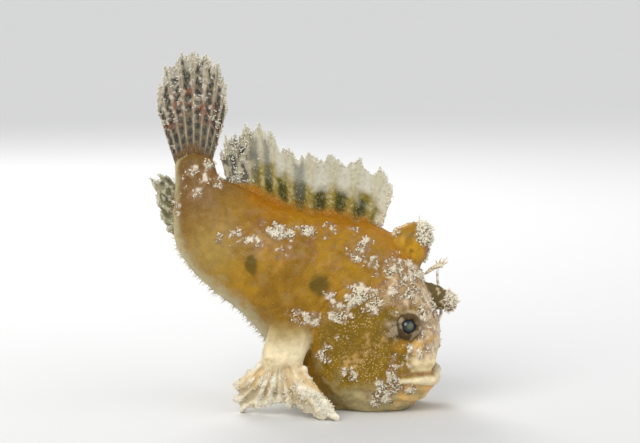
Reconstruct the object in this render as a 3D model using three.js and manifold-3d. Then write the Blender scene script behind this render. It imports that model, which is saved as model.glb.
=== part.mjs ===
// A young painted frogfish, life size, about 70 mm from chin to tail tip, standing nose down on its
// hand-like pectoral fins, its two small pelvic fins and its throat.
//
// Frame: millimetres, +Z up, the head towards +X, the fish's own right side towards -Y. The origin lies on
// the floor under the middle of the whole fish. The shapes below are drawn in the fish's own plane, X along
// the floor and Z above it, and the finished group is then moved so that its box stands on the origin.

import * as THREE from "three";
import { mergeVertices } from "three/addons/utils/BufferGeometryUtils.js";
import Module from "manifold-3d";

const wasm = await Module();
wasm.setup();

// Driving sizes.
const GAP = 0.3; // between parts that touch
const WEB = 0.25; // half the thickness of a fin's web
const RAY = 0.46; // half the thickness of a fin ray at its root
const TIP = 0.2; // half the thickness of a fin at its margin
const RIGHT = -1; // the side towards -Y
const LEFT = 1;
const FLOOR = 0.5; // height of the floor in the drawing
const WRIST = 8.9; // height where an arm ends and its hand begins

const RINGS = 44; // rows of the body's surface from tail to mouth
const AROUND = 30; // points round each row

// Crusty patches: where each one lies on the flank, its radius, and how many filaments of what length.
const TRUNK_PATCHES = [
  { x: -9.9, z: 32.4, radius: 1.4, count: 2, length: 1.2 },
  { x: -6.8, z: 30.6, radius: 0.9, count: 1, length: 1.3 },
  { x: -3.4, z: 33.2, radius: 1.9, count: 3, length: 1.3 },
  { x: -1.9, z: 29.4, radius: 1.5, count: 3, length: 1.2 },
  { x: 2.4, z: 33.2, radius: 1.4, count: 2, length: 1.7 },
  { x: 10.6, z: 31.0, radius: 1.7, count: 4, length: 1.7 },
  { x: 0.4, z: 20.8, radius: 1.0, count: 2, length: 1.3 },
];
const HEAD_PATCHES = [
  { x: 11.6, z: 22.6, radius: 3.2, count: 8, length: 1.2 },
  { x: 9.2, z: 17.8, radius: 0.9, count: 1, length: 1.2 },
  { x: 19.4, z: 24.0, radius: 2.3, count: 6, length: 1.2 },
  { x: 6.0, z: 11.2, radius: 0.7, count: 1, length: 1.0 },
  { x: 10.0, z: 8.6, radius: 0.9, count: 2, length: 1.2 },
];
const JAW_PATCHES = [{ x: 16.8, z: 4.3, radius: 2.0, count: 4, length: 1.2 }];
const STALK_PATCHES = [
  { x: -20.4, z: 41.0, radius: 1.6, count: 3, length: 1.2 },
  { x: -16.2, z: 42.2, radius: 0.9, count: 1, length: 1.2 },
];

// The body from the root of the tail fin to the mouth. Each station gives the back and the belly as
// [x, z], the half width across, how low the widest line lies (0 is halfway) and how boxy the section is
// (1 is an oval).
const STATIONS = [
  { back: [-19.7, 47.4], belly: [-19.7, 47.4], half: 0.0, low: 0, round: 1 },
  { back: [-16.3, 46.2], belly: [-23.0, 45.6], half: 1.7, low: 0, round: 1 },
  { back: [-15.3, 43.3], belly: [-23.0, 40.9], half: 2.6, low: 0, round: 1 },
  { back: [-12.6, 41.7], belly: [-23.6, 35.0], half: 3.9, low: 0.05, round: 1 },
  { back: [-9.2, 40.4], belly: [-23.0, 30.2], half: 5.3, low: 0.08, round: 1 },
  { back: [-5.2, 38.2], belly: [-20.4, 25.8], half: 6.8, low: 0.1, round: 1 },
  { back: [-0.4, 36.6], belly: [-16.5, 22.2], half: 8.1, low: 0.1, round: 1 },
  { back: [5.2, 35.8], belly: [-11.3, 18.1], half: 9.1, low: 0.1, round: 0.95 },
  { back: [11.0, 34.9], belly: [-6.7, 13.4], half: 9.7, low: 0.08, round: 0.95 },
  { back: [15.8, 33.4], belly: [-2.7, 7.1], half: 9.9, low: 0.05, round: 0.92 },
  { back: [19.0, 30.8], belly: [2.0, 1.0], half: 10.1, low: 0.04, round: 0.9 },
  { back: [21.5, 27.0], belly: [8.4, -0.8], half: 10.1, low: 0.02, round: 0.88 },
  { back: [23.3, 22.8], belly: [14.0, -0.8], half: 9.7, low: 0.02, round: 0.86 },
  { back: [24.9, 18.4], belly: [18.6, -0.1], half: 8.8, low: 0, round: 0.84 },
  { back: [25.8, 14.8], belly: [21.7, 1.6], half: 7.8, low: 0, round: 0.82 },
  { back: [25.6, 11.6], belly: [24.1, 3.8], half: 7.0, low: 0, round: 0.8 },
  { back: [24.7, 9.6], belly: [25.3, 6.2], half: 6.3, low: 0, round: 0.8 },
  { back: [23.2, 8.6], belly: [23.8, 7.5], half: 5.6, low: 0, round: 0.9 },
  { back: [20.8, 8.1], belly: [20.8, 8.1], half: 0, low: 0, round: 1 },
];

// The cheek is a swelling with a clear rear edge, an ellipse seen from the side.
const CHEEK = { x: 14.6, z: 12, rx: 11.6, rz: 12.8, rise: 1.1 };
const EYE = { x: 20.6, z: 16.9, radius: 1.75, proud: 0.75, rim: 0.62 };

// The mouth, an oval slit seen from above that widens to a notch between the lips at the front.
const MOUTH = { x: 14.5, z: 8.1, long: 12.6, wide: 8.9, thin: 0.2, gape: 1.5 };
const LIP = 0.75; // half the thickness of the lips at the front

const smooth = (low, high, value) => THREE.MathUtils.smoothstep(value, low, high);

// A small seeded random source, so that every build is the same.
function randomFrom(seed) {
  let state = seed >>> 0;
  return (low = 0, high = 1) => {
    state = (state + 0x6d2b79f5) >>> 0;
    let mixed = Math.imul(state ^ (state >>> 15), 1 | state);
    mixed = (mixed + Math.imul(mixed ^ (mixed >>> 7), 61 | mixed)) ^ mixed;
    return low + ((high - low) * ((mixed ^ (mixed >>> 14)) >>> 0)) / 2 ** 32;
  };
}

// Closed solids and back again.
function solidOf(geometry) {
  const loose = geometry.index ? geometry.toNonIndexed() : geometry;
  const bare = new THREE.BufferGeometry();
  bare.setAttribute("position", loose.getAttribute("position"));
  const merged = mergeVertices(bare, 1e-4);
  return new wasm.Manifold(
    new wasm.Mesh({
      numProp: 3,
      vertProperties: merged.attributes.position.array,
      triVerts: new Uint32Array(merged.index.array),
    }),
  );
}

const largest = (solid) =>
  solid.decompose().reduce((best, piece) => (piece.volume() > best.volume() ? piece : best));

const fuse = (solids) => largest(solids.reduce((sum, piece) => sum.add(piece)));

function meshOf(solid, name, finish) {
  const data = solid.getMesh();
  const geometry = new THREE.BufferGeometry();
  geometry.setAttribute("position", new THREE.BufferAttribute(data.vertProperties, 3));
  geometry.setIndex(new THREE.BufferAttribute(data.triVerts, 1));
  geometry.computeVertexNormals();
  const mesh = new THREE.Mesh(geometry, finish);
  mesh.name = name;
  return mesh;
}

// Body surface.
const plane = ([x, z]) => new THREE.Vector3(x, 0, z);
const curve = (points) => new THREE.CatmullRomCurve3(points, false, "centripetal");
const backLine = curve(STATIONS.map((s) => plane(s.back)));
const bellyLine = curve(STATIONS.map((s) => plane(s.belly)));
const sizeLine = curve(STATIONS.map((s) => new THREE.Vector3(s.half, s.low, s.round)));

function cheekRise(x, z) {
  const reach = Math.hypot((x - CHEEK.x) / CHEEK.rx, (z - CHEEK.z) / CHEEK.rz);
  const edge = 1 - smooth(0.88, 1.02, reach);
  const fade = 1 - smooth(9, 20, x);
  return CHEEK.rise * edge * fade;
}

function eyeRise(x, z) {
  const distance = Math.hypot(x - EYE.x, z - EYE.z);
  return 0.8 * Math.exp(-((distance / 3.2) ** 2));
}

// A point of the body's surface: t runs from tail to mouth, angle from the back round the left side.
function bodyPoint(t, angle, grow = 0) {
  const back = backLine.getPoint(t);
  const belly = bellyLine.getPoint(t);
  const { x: half, y: low, z: round } = sizeLine.getPoint(t);
  const up = Math.cos(angle);
  const out = Math.sin(angle);
  const along = Math.sign(up) * Math.abs(up) ** round;
  const across = Math.sign(out) * Math.abs(out) ** round;
  const middle = back.clone().add(belly).multiplyScalar(0.5);
  const spread = back.clone().sub(belly).multiplyScalar(0.5);
  if (t <= 0 || t >= 1) return middle;
  const point = middle.add(spread.multiplyScalar(along * (1 + grow / spread.length())));
  const wide = Math.max(half, 0.1) * (1 - low * up) + grow;
  const rise = (cheekRise(point.x, point.z) + eyeRise(point.x, point.z)) * Math.abs(out);
  point.y = across * wide + Math.sign(out) * rise;
  return point;
}

function bodyGeometry(grow = 0) {
  const geometry = new THREE.SphereGeometry(1, AROUND, RINGS);
  const position = geometry.getAttribute("position");
  const columns = AROUND + 1;
  for (let i = 0; i < position.count; i++) {
    const row = Math.floor(i / columns);
    const angle = (2 * Math.PI * ((i % columns) % AROUND)) / AROUND;
    const point = bodyPoint(row / RINGS, angle, grow);
    position.setXYZ(i, point.x, point.y, point.z);
  }
  return geometry;
}

function outwards(geometry) {
  const solid = solidOf(geometry);
  if (solid.volume() > 0) return solid;
  const index = geometry.index.array;
  for (let i = 0; i < index.length; i += 3) {
    [index[i + 1], index[i + 2]] = [index[i + 2], index[i + 1]];
  }
  return solidOf(geometry);
}

const skin = bodyGeometry();
const whole = outwards(skin);
const grown = outwards(bodyGeometry(GAP));
const target = new THREE.Mesh(skin, new THREE.MeshBasicMaterial({ side: THREE.DoubleSide }));

// Where a line across the fish at [x, z] first meets its side, with the surface's direction there.
function onFlank(x, z, side) {
  const ray = new THREE.Raycaster(new THREE.Vector3(x, side * 60, z), new THREE.Vector3(0, -side, 0));
  const hit = ray.intersectObject(target)[0];
  if (!hit) throw new Error(`nothing at ${x}, ${z}`);
  const normal = hit.face.normal.clone();
  if (normal.y * side < 0) normal.negate();
  return { point: hit.point, normal };
}

// A thin-walled cut through the whole width of the fish along a line in its own plane.
function cutAlong(points, width) {
  const line = curve(points.map(([x, z]) => new THREE.Vector3(x, z, 0))).getPoints(points.length + 3);
  const sides = [1, -1].map((sign) =>
    line.map((point, i) => {
      const ahead = line[Math.min(i + 1, line.length - 1)];
      const behind = line[Math.max(i - 1, 0)];
      const turn = new THREE.Vector2(ahead.x - behind.x, ahead.y - behind.y).normalize();
      return new THREE.Vector2(point.x - sign * turn.y * (width / 2), point.y + sign * turn.x * (width / 2));
    }),
  );
  const shape = new THREE.Shape([...sides[0], ...sides[1].reverse()]);
  const slab = new THREE.ExtrudeGeometry(shape, { depth: 60, bevelEnabled: false, steps: 1 });
  slab.translate(0, 0, -30).rotateX(Math.PI / 2);
  return outwards(indexed(slab));
}

const indexed = (geometry) => {
  const bare = new THREE.BufferGeometry();
  bare.setAttribute("position", geometry.getAttribute("position"));
  return mergeVertices(bare, 1e-5);
};

// Fins.
// A fan of rays joined by a web: root and tip are curves, v runs from the first ray to the last.
function fanOf({ rays, rows, root, tip, normal, notch, web = WEB, ray = RAY, bend = () => 0 }) {
  const columns = [];
  for (let i = 0; i < rays; i++) {
    const share = 1 / (rays - 1);
    columns.push({ v: i * share, isRay: true });
    if (i < rays - 1) {
      columns.push({ v: (i + 0.3) * share, isRay: false });
      columns.push({ v: (i + 0.7) * share, isRay: false });
    }
  }
  const across = columns.length;
  const points = [];
  for (const face of [1, -1]) {
    for (const { v, isRay } of columns) {
      const from = root.getPoint(v);
      const to = tip.getPoint(v);
      const out = normal(v);
      for (let row = 0; row <= rows; row++) {
        const u = row / rows;
        const reach = isRay ? u : u * (1 - notch * smooth(0.3, 1, u));
        const half = isRay ? THREE.MathUtils.lerp(ray, TIP, u) : THREE.MathUtils.lerp(web, TIP, u * u);
        const point = from.clone().lerp(to, reach);
        points.push(point.addScaledVector(out, bend(reach, v) + face * half));
      }
    }
  }
  const at = (face, column, row) => (face * across + column) * (rows + 1) + row;
  const index = [];
  const quad = (a, b, c, d) => index.push(a, b, c, a, c, d);
  for (let c = 0; c < across - 1; c++) {
    for (let r = 0; r < rows; r++) {
      quad(at(0, c, r), at(0, c + 1, r), at(0, c + 1, r + 1), at(0, c, r + 1));
      index.push(at(1, c, r), at(1, c + 1, r + 1), at(1, c + 1, r));
      index.push(at(1, c, r), at(1, c, r + 1), at(1, c + 1, r + 1));
    }
    quad(at(0, c + 1, 0), at(0, c, 0), at(1, c, 0), at(1, c + 1, 0));
    quad(at(0, c, rows), at(0, c + 1, rows), at(1, c + 1, rows), at(1, c, rows));
  }
  for (let r = 0; r < rows; r++) {
    quad(at(0, 0, r), at(0, 0, r + 1), at(1, 0, r + 1), at(1, 0, r));
    quad(at(0, across - 1, r + 1), at(0, across - 1, r), at(1, across - 1, r), at(1, across - 1, r + 1));
  }
  const geometry = new THREE.BufferGeometry();
  geometry.setAttribute("position", new THREE.Float32BufferAttribute(points.flatMap((p) => p.toArray()), 3));
  geometry.setIndex(index);
  return outwards(geometry);
}

// Frayed ray ends: threads that fork from the end of every ray of a fin.
function fray(fin, { seed, length, radius, forks, spread = 0.5 }) {
  const random = randomFrom(seed);
  const pieces = [];
  for (let i = 0; i < fin.rays; i++) {
    const v = i / (fin.rays - 1);
    const from = fin.root.getPoint(v);
    const to = fin.tip.getPoint(v);
    const out = fin.normal(v);
    const along = to.clone().sub(from).normalize();
    const side = along.clone().cross(out);
    for (let k = 0; k < forks; k++) {
      const reach = 0.94 - 0.14 * k * random();
      const start = from.clone().lerp(to, reach).addScaledVector(out, fin.bend(reach, v));
      const lean = along.clone().addScaledVector(side, (k - (forks - 1) / 2) * spread + random(-0.2, 0.2));
      lean.addScaledVector(out, random(-0.45, 0.45));
      const sag = out.clone().multiplyScalar(random(-0.3, 0.3));
      pieces.push(thread(start, lean, length * random(0.6, 1.15), radius, sag));
    }
  }
  return pieces;
}

// Skin filaments.
// A tapered, bent thread of three sides: it starts sunk below its root.
function thread(root, direction, length, radius, sag, sunk = 0.5) {
  const sides = 3;
  const rows = 2;
  const geometry = new THREE.CylinderGeometry(0, 1, 1, sides, rows, false);
  const position = geometry.getAttribute("position");
  const along = direction.clone().normalize();
  const across = new THREE.Vector3(0.31, 0.87, 0.38).cross(along).normalize();
  const third = along.clone().cross(across);
  for (let i = 0; i < position.count; i++) {
    const u = position.getY(i) + 0.5;
    const taper = 1 - 0.55 * u * u;
    const wide = u > 0.999 ? 0 : radius * taper;
    const angle = Math.atan2(position.getZ(i), position.getX(i));
    const centred = Math.hypot(position.getX(i), position.getZ(i)) < 1e-6;
    const point = root.clone().addScaledVector(along, -sunk + (length + sunk) * u);
    point.addScaledVector(sag, u * u);
    if (!centred) {
      point.addScaledVector(across, wide * Math.cos(angle)).addScaledVector(third, wide * Math.sin(angle));
    }
    position.setXYZ(i, point.x, point.y, point.z);
  }
  return outwards(indexed(geometry.toNonIndexed()));
}

// A forked filament: a stem and one or two shorter branches.
function sprig(root, direction, length, radius, random, branches = 1) {
  const wander = () => new THREE.Vector3(random(-1, 1), random(-1, 1), random(-1, 1));
  const pieces = [thread(root, direction, length, radius, wander().multiplyScalar(length * 0.3))];
  for (let i = 0; i < branches; i++) {
    const lean = direction.clone().addScaledVector(wander(), 0.75).normalize();
    pieces.push(thread(root, lean, length * random(0.55, 0.8), radius * 0.85, wander().multiplyScalar(0.3)));
  }
  return pieces;
}

// Filaments scattered over a round patch of the flank.
function patch({ x, z, radius, count, length }, side, seed) {
  const random = randomFrom(seed);
  const pieces = [];
  for (let i = 0; i < count; i++) {
    const turn = i * 2.4;
    const reach = radius * Math.sqrt((i + 0.5) / count);
    const { point, normal } = onFlank(x + reach * Math.cos(turn), z + reach * Math.sin(turn), side);
    const lean = normal.clone().add(new THREE.Vector3(random(-0.4, 0.4), 0, random(-0.2, 0.6))).normalize();
    pieces.push(...sprig(point, lean, length * random(0.7, 1.2), 0.34, random, i % 3 === 1 ? 1 : 0));
  }
  return pieces;
}

// The crusty patches of each node, on both flanks. The seed keeps the two sides from being alike.
const tufted = (solid, patches) =>
  fuse([solid, ...[RIGHT, LEFT].flatMap((side) => patches.flatMap((p, i) => patch(p, side, 7 * i + side + 2)))]);

const whiteSkin = new THREE.MeshStandardMaterial({ color: 0xe6dcc4, roughness: 0.6, metalness: 0 });
const yellowSkin = new THREE.MeshStandardMaterial({ color: 0xb5831a, roughness: 0.55, metalness: 0 });
const oliveSkin = new THREE.MeshStandardMaterial({ color: 0x7d6a33, roughness: 0.6, metalness: 0 });
const clearFin = new THREE.MeshStandardMaterial({ color: 0xb9b29b, roughness: 0.45, metalness: 0 });
const stripedFin = new THREE.MeshStandardMaterial({ color: 0xbcae74, roughness: 0.45, metalness: 0 });
const eyeGloss = new THREE.MeshStandardMaterial({ color: 0x27302c, roughness: 0.1, metalness: 0 });

const fish = new THREE.Group();
const place = (solid, name, finish) => fish.add(meshOf(solid, name, finish));
const v3 = (x, y, z) => new THREE.Vector3(x, y, z);
const points = (list) => curve(list.map((p) => v3(...p)));

// Eyes, each a ball in a socket, with a fleshy rim round it.
function eyeCentre(side) {
  const { point, normal } = onFlank(EYE.x, EYE.z, side);
  return { centre: point.clone().addScaledVector(normal, EYE.proud - EYE.radius), normal };
}

function ball(centre, radius, detail = 12) {
  const geometry = new THREE.SphereGeometry(radius, detail, Math.round(detail * 0.6));
  return outwards(indexed(geometry.translate(centre.x, centre.y, centre.z).toNonIndexed()));
}

function ring(centre, normal, radius, thick) {
  const geometry = new THREE.TorusGeometry(radius, thick, 6, 12);
  geometry.applyQuaternion(new THREE.Quaternion().setFromUnitVectors(v3(0, 0, 1), normal));
  return outwards(indexed(geometry.translate(centre.x, centre.y, centre.z).toNonIndexed()));
}

// The cheek's rear edge parts the head from the trunk, and another cut parts off the tail's stalk.
const NECK = [
  [18.2, 40],
  [17.2, 32.8],
  [14.2, 28.0],
  [7.6, 23.8],
  [3.6, 18.8],
  [2.3, 12],
  [3.4, 5.4],
  [7.0, 0.2],
  [7.8, -4],
];
const STALK = [
  [-8, 45.5],
  [-13.8, 41],
  [-20.5, 36.4],
  [-30, 31.5],
];
const JAW = [
  [32, 8.1],
  [24, 8.1],
  [18.5, 8.1],
  [15.2, 7.2],
  [12.6, 4.8],
  [11.6, 1.4],
  [11.4, -4],
];

const parted = whole.subtract(cutAlong(NECK, GAP)).subtract(cutAlong(STALK, GAP));
const [tailStalk, trunk, headBlock] = parted
  .decompose()
  .filter((piece) => piece.volume() > 10)
  .sort((a, b) => a.boundingBox().max[0] - b.boundingBox().max[0]);

const gapeAt = (x) => MOUTH.thin + MOUTH.gape * smooth(20.5, 26, x);

function mouthSolid() {
  const geometry = new THREE.SphereGeometry(1, 20, 6);
  const position = geometry.getAttribute("position");
  for (let i = 0; i < position.count; i++) {
    const x = MOUTH.x + MOUTH.long * position.getX(i);
    const height = Math.abs(position.getY(i)) < 1e-6 ? 0 : Math.sign(position.getY(i)) * gapeAt(x);
    position.setXYZ(i, x, MOUTH.wide * position.getZ(i), MOUTH.z + height);
  }
  return outwards(geometry);
}

const headCut = headBlock.subtract(mouthSolid()).subtract(cutAlong(JAW, GAP));
const [skull, jaw] = headCut
  .decompose()
  .filter((piece) => piece.volume() > 10)
  .sort((a, b) => b.volume() - a.volume());

// Everything below the floor is trimmed off, which leaves the small flats that the fish stands on.
const ground = solidOf(new THREE.BoxGeometry(200, 200, 40).translate(0, 0, FLOOR - 20));
const clearOfBody = (solid) => largest(solid.subtract(grown));
const standing = (solid) => largest(solid.subtract(ground));

// A limb or spine: oval sections along a path, with half sizes across and through given by functions.
// Turn runs round the section, and out is the distance as a share of the half sizes.
function limbPoint({ line, across, through, axis }, u, turn, out = 1) {
  const ahead = line.getTangent(u);
  const thick = ahead.clone().cross(axis).normalize();
  const wide = thick.clone().cross(ahead).normalize();
  const point = line.getPoint(u);
  point.addScaledVector(wide, out * Math.sin(turn) * across(u));
  return point.addScaledVector(thick, out * Math.cos(turn) * through(u));
}

function limb(shape) {
  const { sides = 14, rows = 8 } = shape;
  const geometry = new THREE.CylinderGeometry(1, 1, 1, sides, rows, false);
  const position = geometry.getAttribute("position");
  for (let i = 0; i < position.count; i++) {
    const [x, y, z] = [position.getX(i), position.getY(i), position.getZ(i)];
    const point = limbPoint(shape, y + 0.5, Math.atan2(x, z), Math.min(1, Math.hypot(x, z)));
    position.setXYZ(i, point.x, point.y, point.z);
  }
  return outwards(indexed(geometry.toNonIndexed()));
}

// Filaments that stand round a spine's end, from the share "from" of its length to its tip.
function crest(shape, { count, from, length, radius, seed }) {
  const random = randomFrom(seed);
  const pieces = [];
  for (let i = 0; i < count; i++) {
    const u = from + (0.97 - from) * Math.sqrt((i + 0.5) / count);
    const turn = i * 2.4 + random(-0.3, 0.3);
    const root = limbPoint(shape, u, turn, 0.9);
    const out = root.clone().sub(shape.line.getPoint(u)).normalize();
    const lean = out.addScaledVector(shape.line.getTangent(u), 0.3 + u).normalize();
    pieces.push(...sprig(root, lean, length * random(0.7, 1.2), radius, random, i % 3 === 1 ? 1 : 0));
  }
  return pieces;
}

// The rounded end of a limb or spine, as a factor of its half sizes.
const dome = (u) => Math.sqrt(Math.max(0.1, 1 - Math.max(0, (u - 0.72) / 0.28) ** 2));

const between = (a, b) => (u) => THREE.MathUtils.lerp(a, b, u);

// A lip: a soft bead along the mouth from corner to corner, thickest at the front. Up is 1 or -1.
function lip(up) {
  const path = Array.from({ length: 15 }, (_, i) => {
    const azimuth = THREE.MathUtils.degToRad(-66 + (132 * i) / 14);
    const inward = v3(-Math.cos(azimuth), -Math.sin(azimuth), 0);
    const meet = (z) => {
      const start = v3(MOUTH.x, 0, z).addScaledVector(inward, -40);
      return new THREE.Raycaster(start, inward).intersectObject(target)[0].point;
    };
    const first = meet(MOUTH.z + up * 0.8);
    return meet(MOUTH.z + up * (gapeAt(first.x) + 0.55)).addScaledVector(inward, 0.15);
  });
  const thick = (u) => LIP * (0.45 + 0.55 * Math.sin(Math.PI * u));
  return limb({ line: curve(path), across: thick, through: thick, axis: v3(0, 0, 1), sides: 6, rows: 14 });
}

// A nostril: a short tube that stands on the snout, with a pit in its end.
function nostril(x, z, side, radius, height) {
  const { point, normal } = onFlank(x, z, side);
  const profile = [
    [0, -0.6],
    [radius * 1.2, -0.6],
    [radius, height],
    [radius * 0.5, height],
    [radius * 0.4, height * 0.4],
    [0, height * 0.4],
  ];
  const tube = new THREE.LatheGeometry(profile.map(([r, y]) => new THREE.Vector2(r, y)), 6);
  tube.applyQuaternion(new THREE.Quaternion().setFromUnitVectors(v3(0, 1, 0), normal));
  return outwards(indexed(tube.translate(point.x, point.y, point.z).toNonIndexed()));
}

// Eyes and their sockets.
let face = skull.add(lip(1));
for (const side of [RIGHT, LEFT]) {
  const { centre, normal } = eyeCentre(side);
  const rimCentre = centre.clone().addScaledVector(normal, EYE.radius * 0.42);
  face = face.add(ring(rimCentre, normal, EYE.radius + 0.45, EYE.rim));
  face = face.subtract(ball(centre, EYE.radius + GAP));
  face = face.add(nostril(23.3, 19.8, side, 0.45, 1.1)).add(nostril(23.7, 17.7, side, 0.5, 0.5));
  place(ball(centre, EYE.radius), side === RIGHT ? "eye_right" : "eye_left", eyeGloss);
}

// The three free spines of the head: the fishing rod with its lure, the second spine and the third.
const rod = {
  line: points([
    [23.6, 0.8, 14.6],
    [25.9, 1.9, 17.2],
    [25.6, 2.3, 21],
    [25.3, 1.7, 25.6],
  ]),
  across: between(0.36, 0.27),
  through: between(0.36, 0.27),
  axis: v3(0, 1, 0),
  sides: 6,
  rows: 8,
};
const second = {
  line: points([
    [20, 0, 21.6],
    [23.5, 0, 21.2],
    [26.2, 0, 20.6],
    [28.6, 0, 19.3],
  ]),
  across: (u) => (3.0 - 1.6 * u) * dome(u),
  through: (u) => (1.7 - 0.7 * u) * dome(u),
  axis: v3(0, 0, 1),
  sides: 10,
  rows: 8,
};
const third = {
  line: points([
    [15.0, 0, 23.6],
    [18.8, 0, 28.0],
    [21.4, 0, 31.2],
    [22.6, 0, 33.0],
  ]),
  across: (u) => (4.8 - 2.0 * u) * dome(u),
  through: (u) => (4.2 - 1.4 * u) * dome(u),
  axis: v3(0, 1, 0),
  sides: 10,
  rows: 8,
};
const lure = fuse([
  limb({
    line: points([
      [26.2, 1.7, 26.7],
      [25.2, 1.7, 26.5],
      [24.1, 1.7, 25.8],
      [22.9, 1.7, 24.9],
    ]),
    across: (u) => 0.5 - 0.16 * u,
    through: (u) => 0.5 - 0.16 * u,
    axis: v3(0, 1, 0),
    sides: 8,
    rows: 6,
  }),
  thread(v3(25.9, 1.7, 26.7), v3(0.9, 0, 1), 1.9, 0.26, v3(0, 0.2, 0)),
  thread(v3(25.6, 1.7, 26.7), v3(0.1, -0.3, 1), 1.5, 0.24, v3(0.3, 0, 0)),
  thread(v3(25.9, 1.7, 26.6), v3(1, 0.5, 0.25), 1.5, 0.24, v3(0, 0, 0.3)),
]);
place(lure, "esca", whiteSkin);
const secondCrest = crest(second, { count: 6, from: 0.72, length: 1.3, radius: 0.3, seed: 21 });
const thirdCrest = crest(third, { count: 11, from: 0.55, length: 1.6, radius: 0.36, seed: 31 });
place(clearOfBody(limb(rod)), "illicium", whiteSkin);
place(clearOfBody(fuse([limb(second), ...secondCrest])), "second_dorsal_spine", oliveSkin);
place(clearOfBody(fuse([limb(third), ...thirdCrest])), "third_dorsal_spine", yellowSkin);

// Fins along the fish's middle.
const upright = () => v3(0, 1, 0);
const sweep = (cx, cz, rx, rz, from, to) =>
  points(
    Array.from({ length: 9 }, (_, i) => {
      const angle = THREE.MathUtils.degToRad(from + ((to - from) * i) / 8);
      return [cx + rx * Math.cos(angle), 0, cz + rz * Math.sin(angle)];
    }),
  );

const caudal = {
  rays: 9,
  rows: 5,
  root: points([
    [-22.4, 0, 43.6],
    [-16.9, 0, 44.0],
  ]),
  tip: sweep(-19.9, 56.5, 6.6, 9.4, 186, -6),
  normal: upright,
  notch: 0.1,
  bend: (u, v) => 1.1 * Math.sin(2.4 * u) * Math.sin(3 * v),
};
const dorsal = {
  rays: 12,
  rows: 5,
  root: points([
    [14.2, 0, 31.6],
    [7.6, 0, 32.8],
    [0.4, 0, 33.9],
    [-5.6, 0, 36.0],
    [-10.4, 0, 38.4],
    [-12.9, 0, 39.8],
  ]),
  tip: points([
    [17.3, 0, 40.7],
    [15.3, 0, 44.3],
    [10.7, 0, 46.0],
    [6.6, 0, 47.1],
    [2.0, 0, 47.3],
    [-2.2, 0, 48.2],
    [-5.3, 0, 50.8],
    [-7.5, 0, 52.6],
    [-9.9, 0, 52.3],
    [-12.1, 0, 50.8],
    [-13.8, 0, 49.3],
    [-14.9, 0, 47.3],
  ]),
  normal: upright,
  notch: 0.17,
  bend: (u, v) => 0.7 * Math.sin(9 * v) * u,
};
const anal = {
  rays: 6,
  rows: 4,
  root: points([
    [-21.6, 0, 38.6],
    [-21.4, 0, 31.0],
  ]),
  tip: points([
    [-24.6, 0, 43.0],
    [-26.2, 0, 43.2],
    [-27.7, 0, 42.1],
    [-27.0, 0, 38.6],
    [-26.0, 0, 35.2],
    [-24.9, 0, 32.6],
  ]),
  normal: upright,
  notch: 0.18,
  bend: (u) => 0.5 * u * u,
};
const caudalFray = fray(caudal, { seed: 41, length: 1.6, radius: 0.3, forks: 2 });
const dorsalFray = fray(dorsal, { seed: 51, length: 1.5, radius: 0.3, forks: 1 });
const analFray = fray(anal, { seed: 61, length: 1.3, radius: 0.28, forks: 1 });
place(fuse([clearOfBody(fanOf(caudal)), ...caudalFray]), "caudal_fin", clearFin);
place(fuse([clearOfBody(fanOf(dorsal)), ...dorsalFray]), "dorsal_fin", stripedFin);
place(clearOfBody(fuse([fanOf(anal), ...analFray])), "anal_fin", clearFin);

const slab = (low, high) =>
  solidOf(new THREE.BoxGeometry(80, 80, high - low).translate(0, 0, (high + low) / 2));
const aboveWrist = slab(WRIST - GAP / 2, 40);
const belowWrist = slab(-40, WRIST + GAP / 2);

// The hand-like pectoral fins. Each has an arm from the flank and a fan of rays spread on the floor.
// The left arm is set a little further back at the elbow and the hand further forward, as in a slow step.
for (const { side, word, elbow, step } of [
  { side: RIGHT, word: "right", elbow: 0, step: 0 },
  { side: LEFT, word: "left", elbow: -1.6, step: 2.6 },
]) {
  const arm = limb({
    line: points([
      [0.4, side * 5.4, 18.6],
      [-1.0 + elbow, side * 8.6, 14.8],
      [-2.2 + elbow * 0.5 + step * 0.5, side * 10.9, 11.0],
      [-2.4 + step, side * 12.0, 8.0],
    ]),
    across: (u) => 4.3 - 0.5 * Math.sin(Math.PI * u) + 0.2 * u,
    through: between(2.9, 1.7),
    axis: v3(1, 0, 0),
    sides: 14,
    rows: 6,
  });
  const hand = {
    rays: 9,
    rows: 4,
    root: points([
      [-6.7 + step, side * 11.2, WRIST + 0.5],
      [-2.3 + step, side * 12.3, WRIST + 0.6],
      [2.1 + step, side * 12.8, WRIST + 0.5],
    ]),
    tip: points([
      [-10.6 + step, side * 9.6, 5.2],
      [-10.7 + step, side * 8.9, 2.8],
      [-10.0 + step, side * 8.4, 0.4],
      [-7.2 + step, side * 9.4, 1.2],
      [-4.2 + step, side * 10.6, 2.6],
      [-0.7 + step, side * 11.8, 2.8],
      [2.4 + step, side * 13.0, 1.2],
      [5.6 + step, side * 14.0, 0.2],
      [7.9 + step, side * 14.6, 0.4],
    ]),
    normal: (v) => v3(-0.19, side * 0.97, -0.2 + 0.25 * v).normalize(),
    notch: 0.16,
    web: 0.75,
    ray: 1.15,
    bend: (u) => 0.8 * Math.sin(Math.PI * u),
  };
  place(largest(clearOfBody(arm.subtract(belowWrist))), `pectoral_arm_${word}`, whiteSkin);
  const fingers = fray(hand, { seed: 71 + side, length: 1.5, radius: 0.4, forks: 1 });
  const handSolid = fuse([fanOf(hand), ...fingers]).subtract(aboveWrist);
  place(standing(clearOfBody(handSolid)), `pectoral_fin_${word}`, whiteSkin);
}

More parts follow.
